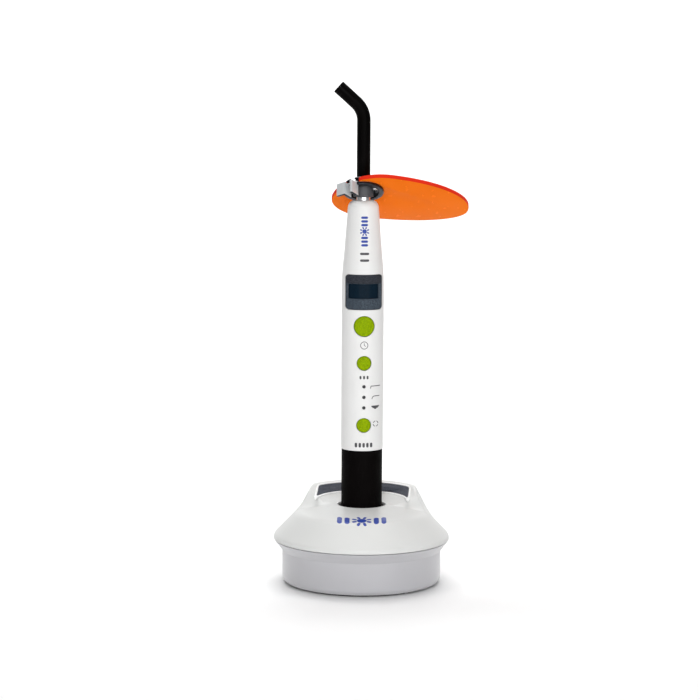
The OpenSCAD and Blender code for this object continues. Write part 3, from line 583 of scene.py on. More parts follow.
def smooth_min(a, b, k):
    """The lower of a and b, blended where they are within k of each other."""
    h = max(k - abs(a - b), 0.0) / k
    return min(a, b) - h * h * k / 4


def smooth_max(a, b, k):
    """The higher of a and b, blended where they are within k of each other."""
    return -smooth_min(-a, -b, k)


def ease(value, start, end):
    """0 to 1, smoothly, as value goes from start to end."""
    t = min(max((value - start) / (end - start), 0.0), 1.0)
    return t * t * (3 - 2 * t)


def cover_outline(inward, density):
    """Cover's outline from seam to socket, drawn inwards by inward; density scales how many points it has."""
    rim = Vector((BASE_R - RIM_R, SEAM_Z + 0.05))
    flank = polar(1, FLANK_ANGLE)
    flank_end = rim + flank * RIM_R + FLANK_LENGTH * Vector((-flank.y, flank.x))
    shoulder = flank_end - flank * SHOULDER_R
    points = arc(rim, RIM_R - inward, -1, FLANK_ANGLE, int(14 * density))
    top = arc(shoulder, SHOULDER_R - inward, FLANK_ANGLE, SHOULDER_TOP, int(16 * density))
    mouth = Vector((MOUTH_R, MOUTH_Z - inward))
    points += line(points[-1], top[0], int(34 * density))[1:]
    points += top
    lip = 0.0 if inward else MOUTH_LIP
    points += line(top[-1], mouth + Vector((lip, 0)), int(46 * density))[1:]
    if lip:
        points += arc(mouth + Vector((lip, -lip)), lip, 90, 180, 4)
        points += [mouth + Vector((0, -lip - 0.6))]
    else:
        points.append(mouth)
    return points


def hump_height(x, y):
    """Height of the raised rear part over the point (x, y) of the base."""
    r = math.hypot(x, y)
    height = HUMP_TOP + 0.2
    window_slope = 50.3 + (r - 27.0) * 0.7153
    rear_slope = 54.9 - (r - 37.2) * 2.4
    flank = HUMP_TOP - (abs(x) - 31.4) * 1.92
    front = HUMP_TOP + (y - 6.4) * 1.9
    for side, blend in ((window_slope, HUMP_SHARPNESS), (rear_slope, HUMP_SHARPNESS),
                        (flank, HUMP_EDGE_BLEND), (front, HUMP_EDGE_BLEND)):
        height = smooth_min(height, side, blend)
    return height


def beside_pane(x, y):
    """Distance of the point outside the window pane's outline, negative inside it."""
    slope = math.hypot(*(PANE_HIGH - PANE_LOW))
    along = (math.hypot(x, y) - PANE_LOW.x) / (PANE_HIGH.x - PANE_LOW.x) * slope
    u = abs(x) - PANE_HALF_W + PANE_CORNER
    v = abs(along - slope / 2) - slope / 2 + PANE_CORNER
    return math.hypot(max(u, 0), max(v, 0)) + min(max(u, v), 0) - PANE_CORNER


def cover_height(x, y, z):
    """Height of the finished cover over a point of its plain outline."""
    if y < -9 or math.hypot(x, y) > 50:
        return z
    height = smooth_max(z, hump_height(x, y), HUMP_FOOT_BLEND)
    if y > 4:
        height -= 1.2 * ease(-beside_pane(x, y), -0.55, -0.3)
    return height


def base_cover():
    """White cover: a round dome with a raised rear part, as one solid with an inside."""
    outer = cover_outline(0, 1.6)
    inner = cover_outline(WALL, 0.3)[::-1]
    steps = 600
    loops = []
    for i in range(steps):
        a = 2 * math.pi * i / steps
        c, s = math.cos(a), math.sin(a)
        loop = [(p.x * c, p.x * s, cover_height(p.x * c, p.x * s, p.y)) for p in outer]
        for p in inner:
            raised = max(cover_height(p.x * c, p.x * s, p.y + WALL) - WALL - 0.6, p.y)
            loop.append((p.x * c, p.x * s, raised))
        loops.append(loop)
    return build("base_cover", [skin(loops, closed=True)], turn=BASE_TURN, smooth=50)


def pane_point(x, along, lift):
    """Point on the window's conical face: across by x, up the slope by along, and lift above it."""
    slope = (PANE_HIGH - PANE_LOW).normalized()
    flat = PANE_LOW + slope * along + Vector((-slope.y, slope.x)) * lift
    return (x, math.sqrt(max(flat.x ** 2 - x * x, 0.01)), flat.y)


def pane_outline(grow):
    """Closed outline of the pane as (across, up the slope), larger by grow."""
    slope = (PANE_HIGH - PANE_LOW).length
    return round_rect(2 * (PANE_HALF_W + grow), slope + 2 * grow, PANE_CORNER + grow, (0, slope / 2), 40, 8)


def window_bead():
    """Rounded white lip around the window; it is given a brighter white than the cover, a painted highlight."""
    section = rounded([(-0.12, -1.3), (1.05, -1.3), (1.05, 0.42), (-0.12, 0.42)], [0.1, 0.1, 0.5, 0.3], 4)
    count = len(section)
    rows = [[pane_point(p.x, p.y, lift) for p in pane_outline(grow)] for grow, lift in section]
    loops = [[rows[k][i] for k in range(count)] for i in range(len(rows[0]))]
    return build("window_lip", [skin(loops, closed=True)], turn=BASE_TURN, smooth=50)


def window_pane():
    """Curved slate window with soft edges, let into its lip."""
    profile = [(-0.2, -1.1), (-0.02, -1.1), (-0.02, -0.12), (-0.06, -0.04), (-0.16, 0.0)]
    slope = (PANE_HIGH - PANE_LOW).length
    loops = [[pane_point(p.x, p.y, lift) for p in pane_outline(grow)] for grow, lift in profile]
    for t in (0.85, 0.7, 0.5, 0.3, 0.1):
        flat = [(p.x, slope / 2 + (p.y - slope / 2) * t) for p in pane_outline(-0.16)]
        reach = [min(1.0, (PANE_HALF_W - 1.6 + 1.4 * t) / max(abs(x), 0.01)) for x, _ in flat]
        loops.append([pane_point(x * k, y, 0.0) for (x, y), k in zip(flat, reach)])
    return build("charge_pane", [skin(loops)], turn=BASE_TURN, smooth=40)


def base_tray():
    """Grey tray: flared top, straight wall, rounded foot and the power inlet's hole."""
    section = rounded(
        [(40.0, TRAY_LOW), (TRAY_R, TRAY_LOW), (TRAY_R, FLARE_Z), (BASE_R - 0.75, SEAM_Z - 1.3),
         (BASE_R - 0.3, SEAM_Z - 0.55), (48.2, SEAM_Z - 0.55), (48.2, SEAM_Z + 2.2), (46.9, SEAM_Z + 2.2),
         (46.9, 24.2), (TRAY_R - WALL, 21.5), (TRAY_R - WALL, 5.4), (TRAY_R - WALL - 2, 3.4), (0.0, 3.4),
         (0.0, TRAY_LOW)],
        [0, 4.0, 1.0, 0.5, 0.25, 0, 0.2, 0.2, 0, 0, 1, 1, 0, 0], 8)
    tray = build("base_tray_skin", [turned(section, 288)], turn=BASE_TURN, smooth=30)
    hole_profile = [(0.0, 40.0), (4.0, 40.0), (4.0, TRAY_R - 0.35), (4.35, TRAY_R + 0.05), (4.35, 60.0),
                    (0.0, 60.0)]
    points, faces = turned(hole_profile, 64)
    to_rear = spin(BASE_TURN) @ Matrix.Translation((0, 0, JACK_Z)) @ spin(-90, "X")
    cut(tray, [build("inlet_hole", [(points, faces)], place=to_rear)], 30)
    return tray


def socket_liner():
    """Black liner of the socket, with its funnel mouth and the two holes of the sprung pins."""
    low, high = span("socket_liner")
    bore = PACK_R + 0.3
    section = rounded(
        [(0.0, low.z), (18.0, low.z), (18.0, 24.4), (MOUTH_R - 0.2, 24.4), (MOUTH_R - 0.2, high.z),
         (bore, MOUTH_Z - 3), (bore, 28.3), (10.2, 28.3), (10.2, 26.4), (0.0, 26.4)],
        [0, 0.4, 0.4, 0, 0.35, 0.8, 0.2, 0.2, 0.2, 0], 4)
    liner = build("socket_sleeve", [turned(section, 160)], turn=BASE_TURN, smooth=35)
    holes = []
    for pin_y in (0.0, 7.0):
        profile = [(0.0, 20.0), (1.35, 20.0), (1.35, 26.25), (1.5, 26.45), (1.5, 30.0), (0.0, 30.0)]
        at = spin(BASE_TURN) @ Matrix.Translation((0, pin_y, 0))
        holes.append(build(f"pin_hole_{int(pin_y)}", [turned(profile, 32)], place=at))
    cut(liner, holes, 35)
    return liner


# ---------------------------------------------------------------- handpiece


def nose_curve():
    """Outer outline of the shells from the straight body to the ferrule's hole."""
    x, z, r = NOSE_ARC
    top = arc((x, z), r, 8, 90, 16)
    return through([*NOSE, tuple(top[0])], 6)[:-1] + top


NOSE_CURVE = nose_curve()


def body_radius(z):
    """Outer radius of the shells at the height z."""
    if z <= NOSE[0][1]:
        return BODY_R
    for a, b in zip(NOSE_CURVE, NOSE_CURVE[1:]):
        if a.y <= z <= b.y:
            return a.x + (b.x - a.x) * (z - a.y) / (b.y - a.y)
    return NOSE_ARC[0]


def on_front(x, z, lift=0.0):
    """Point of the handpiece's front at x across, lift outside the shell."""
    r = body_radius(z) + lift
    return (x, -math.sqrt(max(r * r - x * x, 0.01)), z)


def front_opening(outline, fillet=0.18, depth=8.0):
    """Solid through the front shell whose mouth rounds the opening's edge; outline(grow) gives (x, z)."""
    loops = [[(x, -BODY_R + depth, z) for x, z in outline(0)]]
    for k in range(5):
        a = math.radians(90 * k / 4)
        grow = fillet * (1 - math.cos(a))
        sunk = -fillet * (1 - math.sin(a))
        loops.append([on_front(x, z, sunk) for x, z in outline(grow)])
    loops.append([(x, -BODY_R - 3.0, z) for x, z in outline(fillet)])
    return skin(loops)


def circle(radius, z, steps=64):
    """Function of grow that gives a circle's outline round (0, z)."""
    def outline(grow):
        return [(p.x, p.y + z) for p in arc((0, 0), radius + grow, 0, 360, steps)[:-1]]
    return outline


def shell_section():
    """Closed section of the shells: outside, ferrule hole and cavity."""
    outside = [Vector((BODY_R - 0.3, SHELL_LOW)), Vector((BODY_R - 0.09, SHELL_LOW + 0.09)),
               Vector((BODY_R, SHELL_LOW + 0.3))] + NOSE_CURVE
    inside = [Vector((HOLE_R, SHELL_TOP - 0.05)), Vector((HOLE_R, 226.5)), Vector((7.0, 226.5)),
              Vector((7.3, 223.5))]
    inside += [Vector((r - SHELL_WALL, z)) for r, z in reversed(NOSE)]
    return outside + inside + [Vector((BODY_R - SHELL_WALL, SHELL_LOW))]


def half_shell(name, start):
    """One moulded half of the shells, from the angle start over half a turn."""
    off = math.degrees(SPLIT_GAP / BODY_R)
    return build(name, [turned(shell_section(), 97, start + off, start + 180 - off)], smooth=9)


def front_shell():
    """Front half with its openings for the window, the buttons and the mode lights."""
    def window(grow):
        w, h = WINDOW_W + 0.2 + 2 * grow, WINDOW_H + 0.2 + 2 * grow
        return [(p.x, p.y) for p in round_rect(w, h, 2.1 + grow, (0, WINDOW_Z), 16, 8)]

    shell = half_shell("front_case", 180.0)
    openings = [front_opening(window)]
    for button in ("start_button", "set_button", "mode_button"):
        openings.append(front_opening(circle(button_radius(button) + 0.2, middle(button).z)))
    for i in range(DOTS):
        openings.append(front_opening(circle(1.05, DOTS_Z + (i - 1) * DOTS_GAP, 32), 0.08))
    cut(shell, [build("openings", openings)], 9)
    return shell


def rear_shell():
    """Rear half with two counterbored screw holes."""
    shell = half_shell("rear_case", 0.0)
    profile = [(0.0, 2.0), (1.1, 2.0), (1.1, 10.0), (2.1, 10.0), (2.1, BODY_R - 0.3), (2.35, BODY_R - 0.02),
               (2.35, 16.0), (0.0, 16.0)]
    points, faces = turned(profile, 46)
    holes = [([(x, z, up - y) for x, y, z in points], faces) for up in SCREW_Z]
    cut(shell, [build("screw_holes", holes)], 9)
    return shell


def button_radius(button):
    """Radius of the button's cap, which is smaller than its flange."""
    low, high = span(button)
    return (high.z - low.z) / 2 - BUTTON_FLANGE


def domed_cap(radius, z, proud, dome, fillet, back):
    """Solid of a round cap whose face follows the body, crowned by dome and rounded by fillet at its rim."""
    loops = []
    rings = 14
    for k in range(1, rings + 1):
        share = k / rings
        loops.append((share * (radius - fillet), dome * (1 - share * share * 0.72)))
    for k in range(1, 7):
        a = math.radians(15 * k)
        loops.append((radius - fillet + fillet * math.sin(a), dome * 0.28 - fillet * (1 - math.cos(a))))
    rows = []
    for ring, drop in loops:
        circle_points = arc((0, 0), ring, 0, 360, 72)[:-1]
        rows.append([on_front(p.x, z, proud + drop)[:2] + (z + p.y,) for p in circle_points])
    rows.append([(p.x, back, z + p.y) for p in arc((0, 0), radius, 0, 360, 72)[:-1]])
    return skin(rows)


def push_button(button):
    """Green cap of one button."""
    low, high = span(button)
    z = (low.z + high.z) / 2
    proud = -low.y - BODY_R
    cap = domed_cap(button_radius(button), z, proud - 0.5, 0.5, 1.1, high.y)
    return build(button.replace("button", "cap"), [cap], smooth=40)


def mode_dots():
    """Three black mode lights, a little domed."""
    caps = [domed_cap(1.0, DOTS_Z + (i - 1) * DOTS_GAP, 0.0, 0.08, 0.2, -4.3) for i in range(DOTS)]
    return build("mode_lights", caps, smooth=40)


SCREEN_W = 17.7
SCREEN_X = -0.4
SCREEN_H = 9.1
SCREEN_UP = 0.55
SCREEN_DEEP = 0.55


def window_loop(share, lift):
    """Loop on the window's face, from its outer outline at 0 to the screen's edge at 1."""
    outer = round_rect(WINDOW_W, WINDOW_H, 2.0, (0, WINDOW_Z), 16, 8)
    inner = round_rect(SCREEN_W, SCREEN_H, 0.35, (SCREEN_X, WINDOW_Z + SCREEN_UP), 16, 8)
    return [on_front(*(a.lerp(b, share)), lift) for a, b in zip(outer, inner)]


def screen_frame():
    """Curved frame of the screen, with a soft outer edge and a sloping inner one."""
    proud = 0.02
    loops = [window_loop(0.0, -1.7), window_loop(0.0, proud - 0.25), window_loop(0.015, proud - 0.1),
             window_loop(0.05, proud)]
    loops += [window_loop(0.05 + 0.95 * k / 8, proud) for k in range(1, 9)]
    inner = round_rect(SCREEN_W - 0.5, SCREEN_H - 0.5, 0.3, (SCREEN_X, WINDOW_Z + SCREEN_UP), 16, 8)
    loops.append([on_front(p.x, p.y, -SCREEN_DEEP) for p in inner])
    loops.append([on_front(p.x, p.y, -1.7) for p in inner])
    return build("screen_frame", [skin(loops, closed=True)], smooth=30)


def screen_glass():
    """Dark glass of the screen, curved with the window."""
    half_w, half_h, middle_z = SCREEN_W / 2 - 0.1, SCREEN_H / 2 - 0.1, WINDOW_Z + SCREEN_UP
    loops = []
    for i in range(33):
        x = SCREEN_X + half_w * (2 * i / 32 - 1)
        low, high = middle_z - half_h, middle_z + half_h
        loops.append([on_front(x, low, -SCREEN_DEEP), on_front(x, high, -SCREEN_DEEP),
                      on_front(x, high, -1.5), on_front(x, low, -1.5)])
    return build("screen_glass", [skin(loops)], smooth=30)


def battery_case():
    """Black battery pack with its narrower neck and soft edges."""
    low, high = PACK_LOW.z, PACK_HIGH.z
    shoulder = SHELL_LOW - 0.1
    section = rounded(
        [(9.55, low), (PACK_R, low), (PACK_R, shoulder), (10.3, shoulder), (10.3, high), (8.9, high),
         (8.9, 86.0), (9.55, 86.0)],
        [0, 0.05, 0.35, 0.1, 0.5, 0.1, 0, 0], 5)
    lid = rounded([(0.0, 86.0), (8.95, 86.0), (8.95, high), (0.0, high)], 0.05, 2)
    pack = build("pack_case", [turned(section, 160), turned(lid, 96)], smooth=30)
    holes = []
    for x in (-4.0, 4.0):
        profile = [(0.0, 80.0), (1.25, 80.0), (1.25, high - 0.2), (1.5, high + 0.05), (1.5, 100.0),
                   (0.0, 100.0)]
        holes.append(build(f"terminal_{x:.0f}".replace("-", "m"), [turned(profile, 32)],
                           place=Matrix.Translation((x, 2, 0))))
    cut(pack, holes, 30)
    return pack


# ---------------------------------------------------------------- printed marks


def stroke(points, width, closed=False, lanes=4):
    """Rows of points across a drawn line of that width, with round ends unless it is closed."""
    points = [Vector(p) for p in points]
    rows = []
    if not closed:
        half = width / 2
        first = (points[0] - points[1]).normalized()
        last = (points[-1] - points[-2]).normalized()
        steps = [math.cos(math.radians(18 * k)) for k in range(5)]
        points = ([points[0] + first * half * s for s in steps] + points
                  + [points[-1] + last * half * s for s in reversed(steps)])
        round_ends = [max(math.sin(math.radians(18 * k)), 0.05) for k in range(5)]
        widths = round_ends + [1] * (len(points) - 10) + round_ends[::-1]
    else:
        widths = [1] * len(points)
    count = len(points)
    for i, p in enumerate(points):
        before = points[i - 1] if closed or i else p
        after = points[(i + 1) % count] if closed or i < count - 1 else p
        ahead = (after - before).normalized()
        side = Vector((-ahead.y, ahead.x)) * width / 2 * widths[i]
        rows.append([p + side * (2 * k / lanes - 1) for k in range(lanes + 1)])
    return rows, closed


def fine(points, step=0.5):
    """The same line with points no farther apart than step."""
    made = []
    for a, b in zip(points, points[1:]):
        a, b = Vector(a), Vector(b)
        made += line(a, b, max(1, math.ceil((b - a).length / step)))
    return made + [Vector(points[-1])]


def ink(name, strokes, surface_point):
    """Thin printed layer made of strokes, laid on the surface that surface_point(u, v, lift) gives."""
    solids = []
    for rows, closed in strokes:
        loops = []
        for row in rows:
            top = [surface_point(p.x, p.y, 0.03) for p in row]
            under = [surface_point(p.x, p.y, -0.06) for p in reversed(row)]
            loops.append(top + under)
        solids.append(skin(loops, closed=closed))
    return build(name, solids, smooth=60)


def dash(x, y, width, height):
    """One short horizontal bar with round ends."""
    half = (width - height) / 2
    return stroke(fine([(x - half, y), (x + half, y)], 0.4), height)


def bars(count, y, width, height, gap):
    """A row of upright bars centred on x = 0."""
    reach = (height - width) / 2
    across = [(i - (count - 1) / 2) * (width + gap) for i in range(count)]
    return [stroke(fine([(x, y - reach), (x, y + reach)], 0.4), width) for x in across]


def ring(x, y, radius, width, start=0.0, end=360.0, steps=48):
    """A circle or a part of one."""
    if end - start >= 360:
        return stroke(arc((x, y), radius, 0, 360, steps)[:-1], width, closed=True)
    return stroke(arc((x, y), radius, start, end, steps), width)


def light_symbol(across, size, places):
    """Plain sign for light: a disc with eight rays, and bars at the places, along x or, if not across, y."""
    def at(u, v):
        return (u * size, v * size) if across else (v * size, u * size)

    drawn = [stroke(fine([at(-0.01, 0), at(0.01, 0)], 0.3), 3.7 * size, lanes=8)]
    for k in range(8):
        d = polar(1, 45 * k + 22.5)
        drawn.append(stroke(fine([at(d.x * 2.6, d.y * 2.6), at(d.x * 3.4, d.y * 3.4)], 0.4), 1.15 * size))
    for u in [side * bar for side in (-1, 1) for bar in places]:
        drawn.append(stroke(fine([at(u, -1.8), at(u, 1.8)], 0.4), 2.0 * size, lanes=6))
    return drawn


def shifted(strokes, dx, dy):
    """The strokes moved by dx and dy."""
    return [([[p + Vector((dx, dy)) for p in row] for row in rows], closed) for rows, closed in strokes]


def control_marks():
    """Small dark signs around the buttons: a clock, mode curves, an arrow ring and plain bars."""
    clock_z, icon_x, ring_x = 144.4, 6.9, 7.2
    mode_z = middle("mode_button").z
    drawn = [ring(0, clock_z, 2.15, 0.38), stroke(fine([(0, clock_z + 1.2), (0, clock_z)], 0.3), 0.32),
             stroke(fine([(0, clock_z), (0.9, clock_z - 0.5)], 0.3), 0.32)]
    drawn += bars(3, 125.3, 1.15, 2.1, 0.95)
    drawn += bars(5, 84.9, 1.45, 2.8, 0.8)
    top, mid, low = (DOTS_Z + (1 - i) * DOTS_GAP for i in range(DOTS))
    curve = [(icon_x - 2.9, top - 0.9), (icon_x - 2.7, top + 0.3), (icon_x + 2.7, top + 0.3)]
    drawn.append(stroke(fine(curve), 0.5))
    rise = arc((icon_x - 0.4, mid - 1.0), 1.6, 180, 90, 8)
    drawn.append(stroke(fine([*rise, (icon_x + 2.4, mid + 0.6)]), 0.45))
    for k in range(4):
        drawn.append(dash(icon_x, low + 0.9 - 0.5 * k, 5.0 - 0.28 * k * k - 0.35 * k, 0.56))
    for k in range(4):
        drawn.append(ring(ring_x, mode_z + 0.8, 1.55, 0.42, 90 * k + 14, 90 * k + 64, 6))
    return ink("control_marks", drawn, on_front)


def nose_marks_blue():
    """Blue light symbol along the nose."""
    return ink("nose_symbol", shifted(light_symbol(False, 0.72, (5.2, 8.2, 11.2)), 0, 211.5), on_front)


def nose_marks_grey():
    """Two plain dark bars below the symbol."""
    return ink("nose_bars", [dash(0, 198.4, 5.4, 1.4), dash(0, 194.5, 5.4, 1.4)], on_front)


def base_mark():
    """Blue light symbol on the front of the cover."""
    outline = cover_outline(0, 1.6)
    lengths = [0.0]
    for a, b in zip(outline, outline[1:]):
        lengths.append(lengths[-1] + (b - a).length)
    centre = next(s for s, p in zip(lengths, outline) if p.x < 35.2)
    facing = math.radians(-90 + 4.5)

    def on_cover(u, v, lift):
        s = centre + v
        k = next(i for i in range(len(lengths)) if lengths[i + 1] > s)
        a, b = outline[k], outline[k + 1]
        p = a.lerp(b, (s - lengths[k]) / (lengths[k + 1] - lengths[k]))
        out = Vector(((b - a).y, -(b - a).x)).normalized()
        p = p + out * lift
        turn = facing + u / p.x
        return (p.x * math.cos(turn), p.x * math.sin(turn), p.y)

    mark = ink("cover_symbol", light_symbol(True, 1.55, (5.6, 8.6)), on_cover)
    mark.data.transform(spin(BASE_TURN))
    return mark


# ---------------------------------------------------------------- light guide


def guide_frame(s):
    """Centre and outward direction of the guide at the length s along it from z = 0."""
    bend = math.radians(BEND_ANGLE)
    bend_length = BEND_R * bend
    angle = min(max((s - BEND_Z) / BEND_R, 0.0), bend)
    x = -BEND_R * (1 - math.cos(angle))
    z = min(s, BEND_Z) + BEND_R * math.sin(angle)
    beyond = max(s - BEND_Z - bend_length, 0.0)
    ahead = Vector((-math.sin(angle), 0, math.cos(angle)))
    return Vector((x, 0, z)) + ahead * beyond, Vector((math.cos(angle), 0, math.sin(angle)))


def guide_rod(section, steps=64):
    """Solid round the guide's centre line of a closed section of (radius, length along the guide)."""
    loops = []
    for i in range(steps):
        a = 2 * math.pi * i / steps
        loop = []
        for r, s in section:
            centre, out = guide_frame(s)
            loop.append(centre + out * r * math.cos(a) + Vector((0, r * math.sin(a), 0)))
        loops.append(loop)
    return skin(loops, closed=True)


def along(start, end):
    """Lengths from start to end, with close steps only round the bend."""
    bend_end = BEND_Z + BEND_R * math.radians(BEND_ANGLE)
    if start > end:
        return along(end, start)[::-1]
    count = math.ceil((bend_end - BEND_Z) / BEND_STEP)
    bend = [BEND_Z + (bend_end - BEND_Z) * k / count for k in range(count + 1)]
    return [start] + [s for s in bend if start < s < end] + [end]


GUIDE_END = BEND_Z + BEND_R * math.radians(BEND_ANGLE) + TIP_LENGTH


def guide_sheath():
    """Black jacket of the light guide, rounded at both ends."""
    low, high = JACKET_Z, GUIDE_END
    edge = 0.35
    section = [(CORE_R + 0.02, low), (GUIDE_R - edge, low), (GUIDE_R - 0.1, low + 0.1)]
    section += [(GUIDE_R, s) for s in along(low + edge, high - edge)]
    section += [(GUIDE_R - 0.1, high - 0.1), (GUIDE_R - edge, high), (CORE_R + 0.02, high)]
    section += [(CORE_R + 0.02, s) for s in along(high - 0.3, low + 0.3)]
    return build("guide_jacket", [guide_rod(section)], turn=GUIDE_TURN, smooth=35)


def guide_core():
    """Fused fibre rod, with a flat polished face at each end."""
    low, high = FERRULE_LOW.z + 0.3, GUIDE_END - 0.05
    section = [(0.0, low), (CORE_R - 0.1, low), (CORE_R, low + 0.1)]
    section += [(CORE_R, s) for s in along(low + 0.5, high - 0.1)]
    section += [(CORE_R - 0.1, high), (0.0, high)]
    section += [(0.0, s) for s in along(high - 0.5, low + 0.5)]
    return build("fibre_rod", [guide_rod(section, 48)], turn=GUIDE_TURN, smooth=35)


def ferrule():
    """Polished ferrule with its seal groove and two turned rings near the top."""
    low, high = FERRULE_LOW.z, FERRULE_HIGH.z
    inner = CORE_R + 0.05
    corners = [(inner, low), (FERRULE_R - 0.45, low), (FERRULE_R, low + 0.5), (FERRULE_R, 215.48),
               (3.27, 215.48), (3.27, 216.52), (FERRULE_R, 216.52)]
    for z in (high - 2.2, high - 1.3):
        corners += [(FERRULE_R, z), (FERRULE_R - 0.14, z + 0.1), (FERRULE_R - 0.14, z + 0.3),
                    (FERRULE_R, z + 0.4)]
    corners += [(FERRULE_R, high - 0.35), (FERRULE_R - 0.35, high), (inner, high)]
    return build("ferrule_sleeve", [turned(rounded(corners, 0.06, 2), 128)], smooth=40)


# ---------------------------------------------------------------- glare shield and its clip


PLATE_PLACE = Matrix.Translation(SHIELD_AT) @ spin(SHIELD_TURN) @ spin(-SHIELD_TILT, "X")
PLATE_AXIS = (PLATE_PLACE.to_3x3() @ Vector((0, 0, 1))).normalized()


def shield_outline():
    """Closed outline of the plate: the oval, the slot from its edge and the hole, with softened corners."""
    slot = polar(1, SLOT_DIRECTION)
    side = Vector((-slot.y, slot.x))
    hole = RING_HUB + 0.1
    oval = []
    for i in range(360):
        a = math.radians(i)
        across = PLATE_RIGHT if math.cos(a) > 0 else PLATE_LEFT
        deep = PLATE_BACK if math.sin(a) > 0 else PLATE_FRONT
        local = Vector((across * math.cos(a), deep * math.sin(a)))
        oval.append(PLATE_MIDDLE + Matrix.Rotation(math.radians(PLATE_TURN), 2) @ local)
    kept = [p for p in oval if not (abs(p.dot(side)) < SLOT_W / 2 and p.dot(slot) > 0)]
    start = max(range(len(kept)), key=lambda i: (kept[i] - kept[i - 1]).length)
    kept = kept[start:] + kept[:start]
    half = math.degrees(math.asin(SLOT_W / 2 / hole))
    ring_points = arc((0, 0), hole, SLOT_DIRECTION - half, SLOT_DIRECTION + half - 360, 120)
    first, last = (ring_points[0], ring_points[-1])
    if (kept[-1] - first).length > (kept[-1] - last).length:
        ring_points, first, last = ring_points[::-1], last, first
    corners = []
    for mouth, root in ((kept[-1], first), (kept[0], last)):
        sign = 1 if root.dot(side) > 0 else -1
        reach = slot * mouth.dot(slot) + side * sign * SLOT_W / 2
        corners.append((reach, root))
    points = kept + fine([corners[0][0], corners[0][1]], 0.4)[:-1] + ring_points
    points += fine([corners[1][1], corners[1][0]], 0.4)[1:]
    sharp = [c for pair in corners for c in pair]
    for _ in range(14):
        smoothed = []
        for i, p in enumerate(points):
            near = min((p - c).length for c in sharp)
            pull = 0.5 * (1 - ease(near, 1.2, 3.0))
            average = (points[i - 1] + points[(i + 1) % len(points)]) / 2
            smoothed.append(p.lerp(average, pull))
        points = smoothed
    return points


def inset(points, distance):
    """The outline drawn inwards, for an outline that runs anticlockwise."""
    made = []
    for i, p in enumerate(points):
        ahead = (points[(i + 1) % len(points)] - points[i - 1]).normalized()
        made.append(p + Vector((-ahead.y, ahead.x)) * distance)
    return made


def shield_plate():
    """Orange plate with softened edges, and a deeper red round its rim that is painted edge glow."""
    outline = shield_outline()
    area = sum(a.x * b.y - b.x * a.y for a, b in zip(outline, outline[1:] + outline[:1]))
    if area < 0:
        outline = outline[::-1]
    edge = 0.35
    lower = []
    for k in range(4):
        a = math.radians(30 * k)
        ring_points = inset(outline, edge * (1 - math.sin(a)))
        lower.append([(*p, -PLATE_T / 2 + edge * (1 - math.cos(a))) for p in ring_points])
    upper = [[(x, y, -z) for x, y, z in loop] for loop in reversed(lower)]
    plate = build("shield_plate_clear", [skin(lower + upper)], place=PLATE_PLACE, smooth=32)
    plate.data.materials.append(MATERIALS["shield_orange"])
    # rim faces get the deeper red, painted edge glow
    paint(plate, MATERIALS["shield_rim_painted_glow"], lambda at, normal: abs(normal.dot(PLATE_AXIS)) < 0.8)
    return plate


def block(low, high):
    """Box between two corners, as points and faces."""
    (x0, y0, z0), (x1, y1, z1) = low, high
    loops = [[(x, y0, z0), (x, y1, z0), (x, y1, z1), (x, y0, z1)] for x in (x0, x1)]
    return skin(loops)


def clip_ring():
    """Split ring that holds the plate, and its two ears with a turned-out tab, with painted shade where they face
    down.
    """
    under, over = -PLATE_T / 2 - 0.05, PLATE_T / 2 + 0.05
    low, high = -3.0, 2.2
    section = rounded([(RING_IN, low), (RING_OUT, low), (RING_OUT, under), (RING_HUB, under),
                       (RING_HUB, over), (RING_OUT - 0.6, over), (RING_OUT - 0.6, high), (RING_IN, high)],
                      [0.35, 0.45, 0.2, 0.05, 0.05, 0.15, 0.35, 0.35], 4)
    gap = math.degrees(math.asin(CLIP_GAP / 2 / RING_OUT))
    ring_solid = turned(section, 150, SLOT_DIRECTION + gap, SLOT_DIRECTION + 360 - gap)
    ring_obj = build("clip_band", [ring_solid], place=PLATE_PLACE, smooth=32)
    place = PLATE_PLACE @ spin(SLOT_DIRECTION)
    inner, half = RING_IN + 0.6, CLIP_GAP / 2
    solids = []
    for side in (-1, 1):
        y0, y1 = sorted((side * half, side * (half + EAR_T)))
        solids.append(block((inner, y0, EAR_Z[0]), (EAR_END, y1, EAR_Z[1])))
        solids.append(block((inner, y0 + 0.02, EAR_Z[1] - 1), (RING_OUT - 0.2, y1 - 0.02, EAR_Z[1] + 1)))
    tab_low = (EAR_END - 1.6, -half - TAB_W, EAR_Z[0] + 0.01)
    solids.append(block(tab_low, (EAR_END + 0.01, -half - 0.01, EAR_Z[1] - 0.01)))
    ears = build("clip_ears", solids, place=place)
    bevel(ears, 0.35)
    # painted shade: ring faces not turned up along the plate's axis, and the ears' downward faces, get dark metal
    for obj, limit in ((ring_obj, 0.3), (ears, -0.6)):
        obj.data.materials.append(MATERIALS["clip_silver"])
        paint(obj, MATERIALS["clip_painted_shade"], lambda at, normal, limit=limit: normal.dot(PLATE_AXIS) < limit)
    return ring_obj, ears


# ---------------------------------------------------------------- putting the object together


def dress_frame():
    """Procedural materials on every CAD node, whether it stays in view or not."""
    for row in frame["record"]["subparts"]:
        obj = frame["nodes"][row["node"]]
        obj.data.materials.clear()
        obj.data.materials.append(MATERIALS[row["material_slot"]])


def add_base():
    piece(base_cover(), "base", "dome_white", "base_dome")
    # the window's lip gets a brighter white than the cover as a painted highlight
    piece(window_bead(), "base", "dome_white", finish="lip_white_painted_highlight")
    piece(window_pane(), "base", "window_slate", "charge_window")
    piece(base_tray(), "base", "tray_grey", "base_tray")
    piece(socket_liner(), "base", "liner_black", "socket_liner")
    piece(base_mark(), "base", "print_blue")


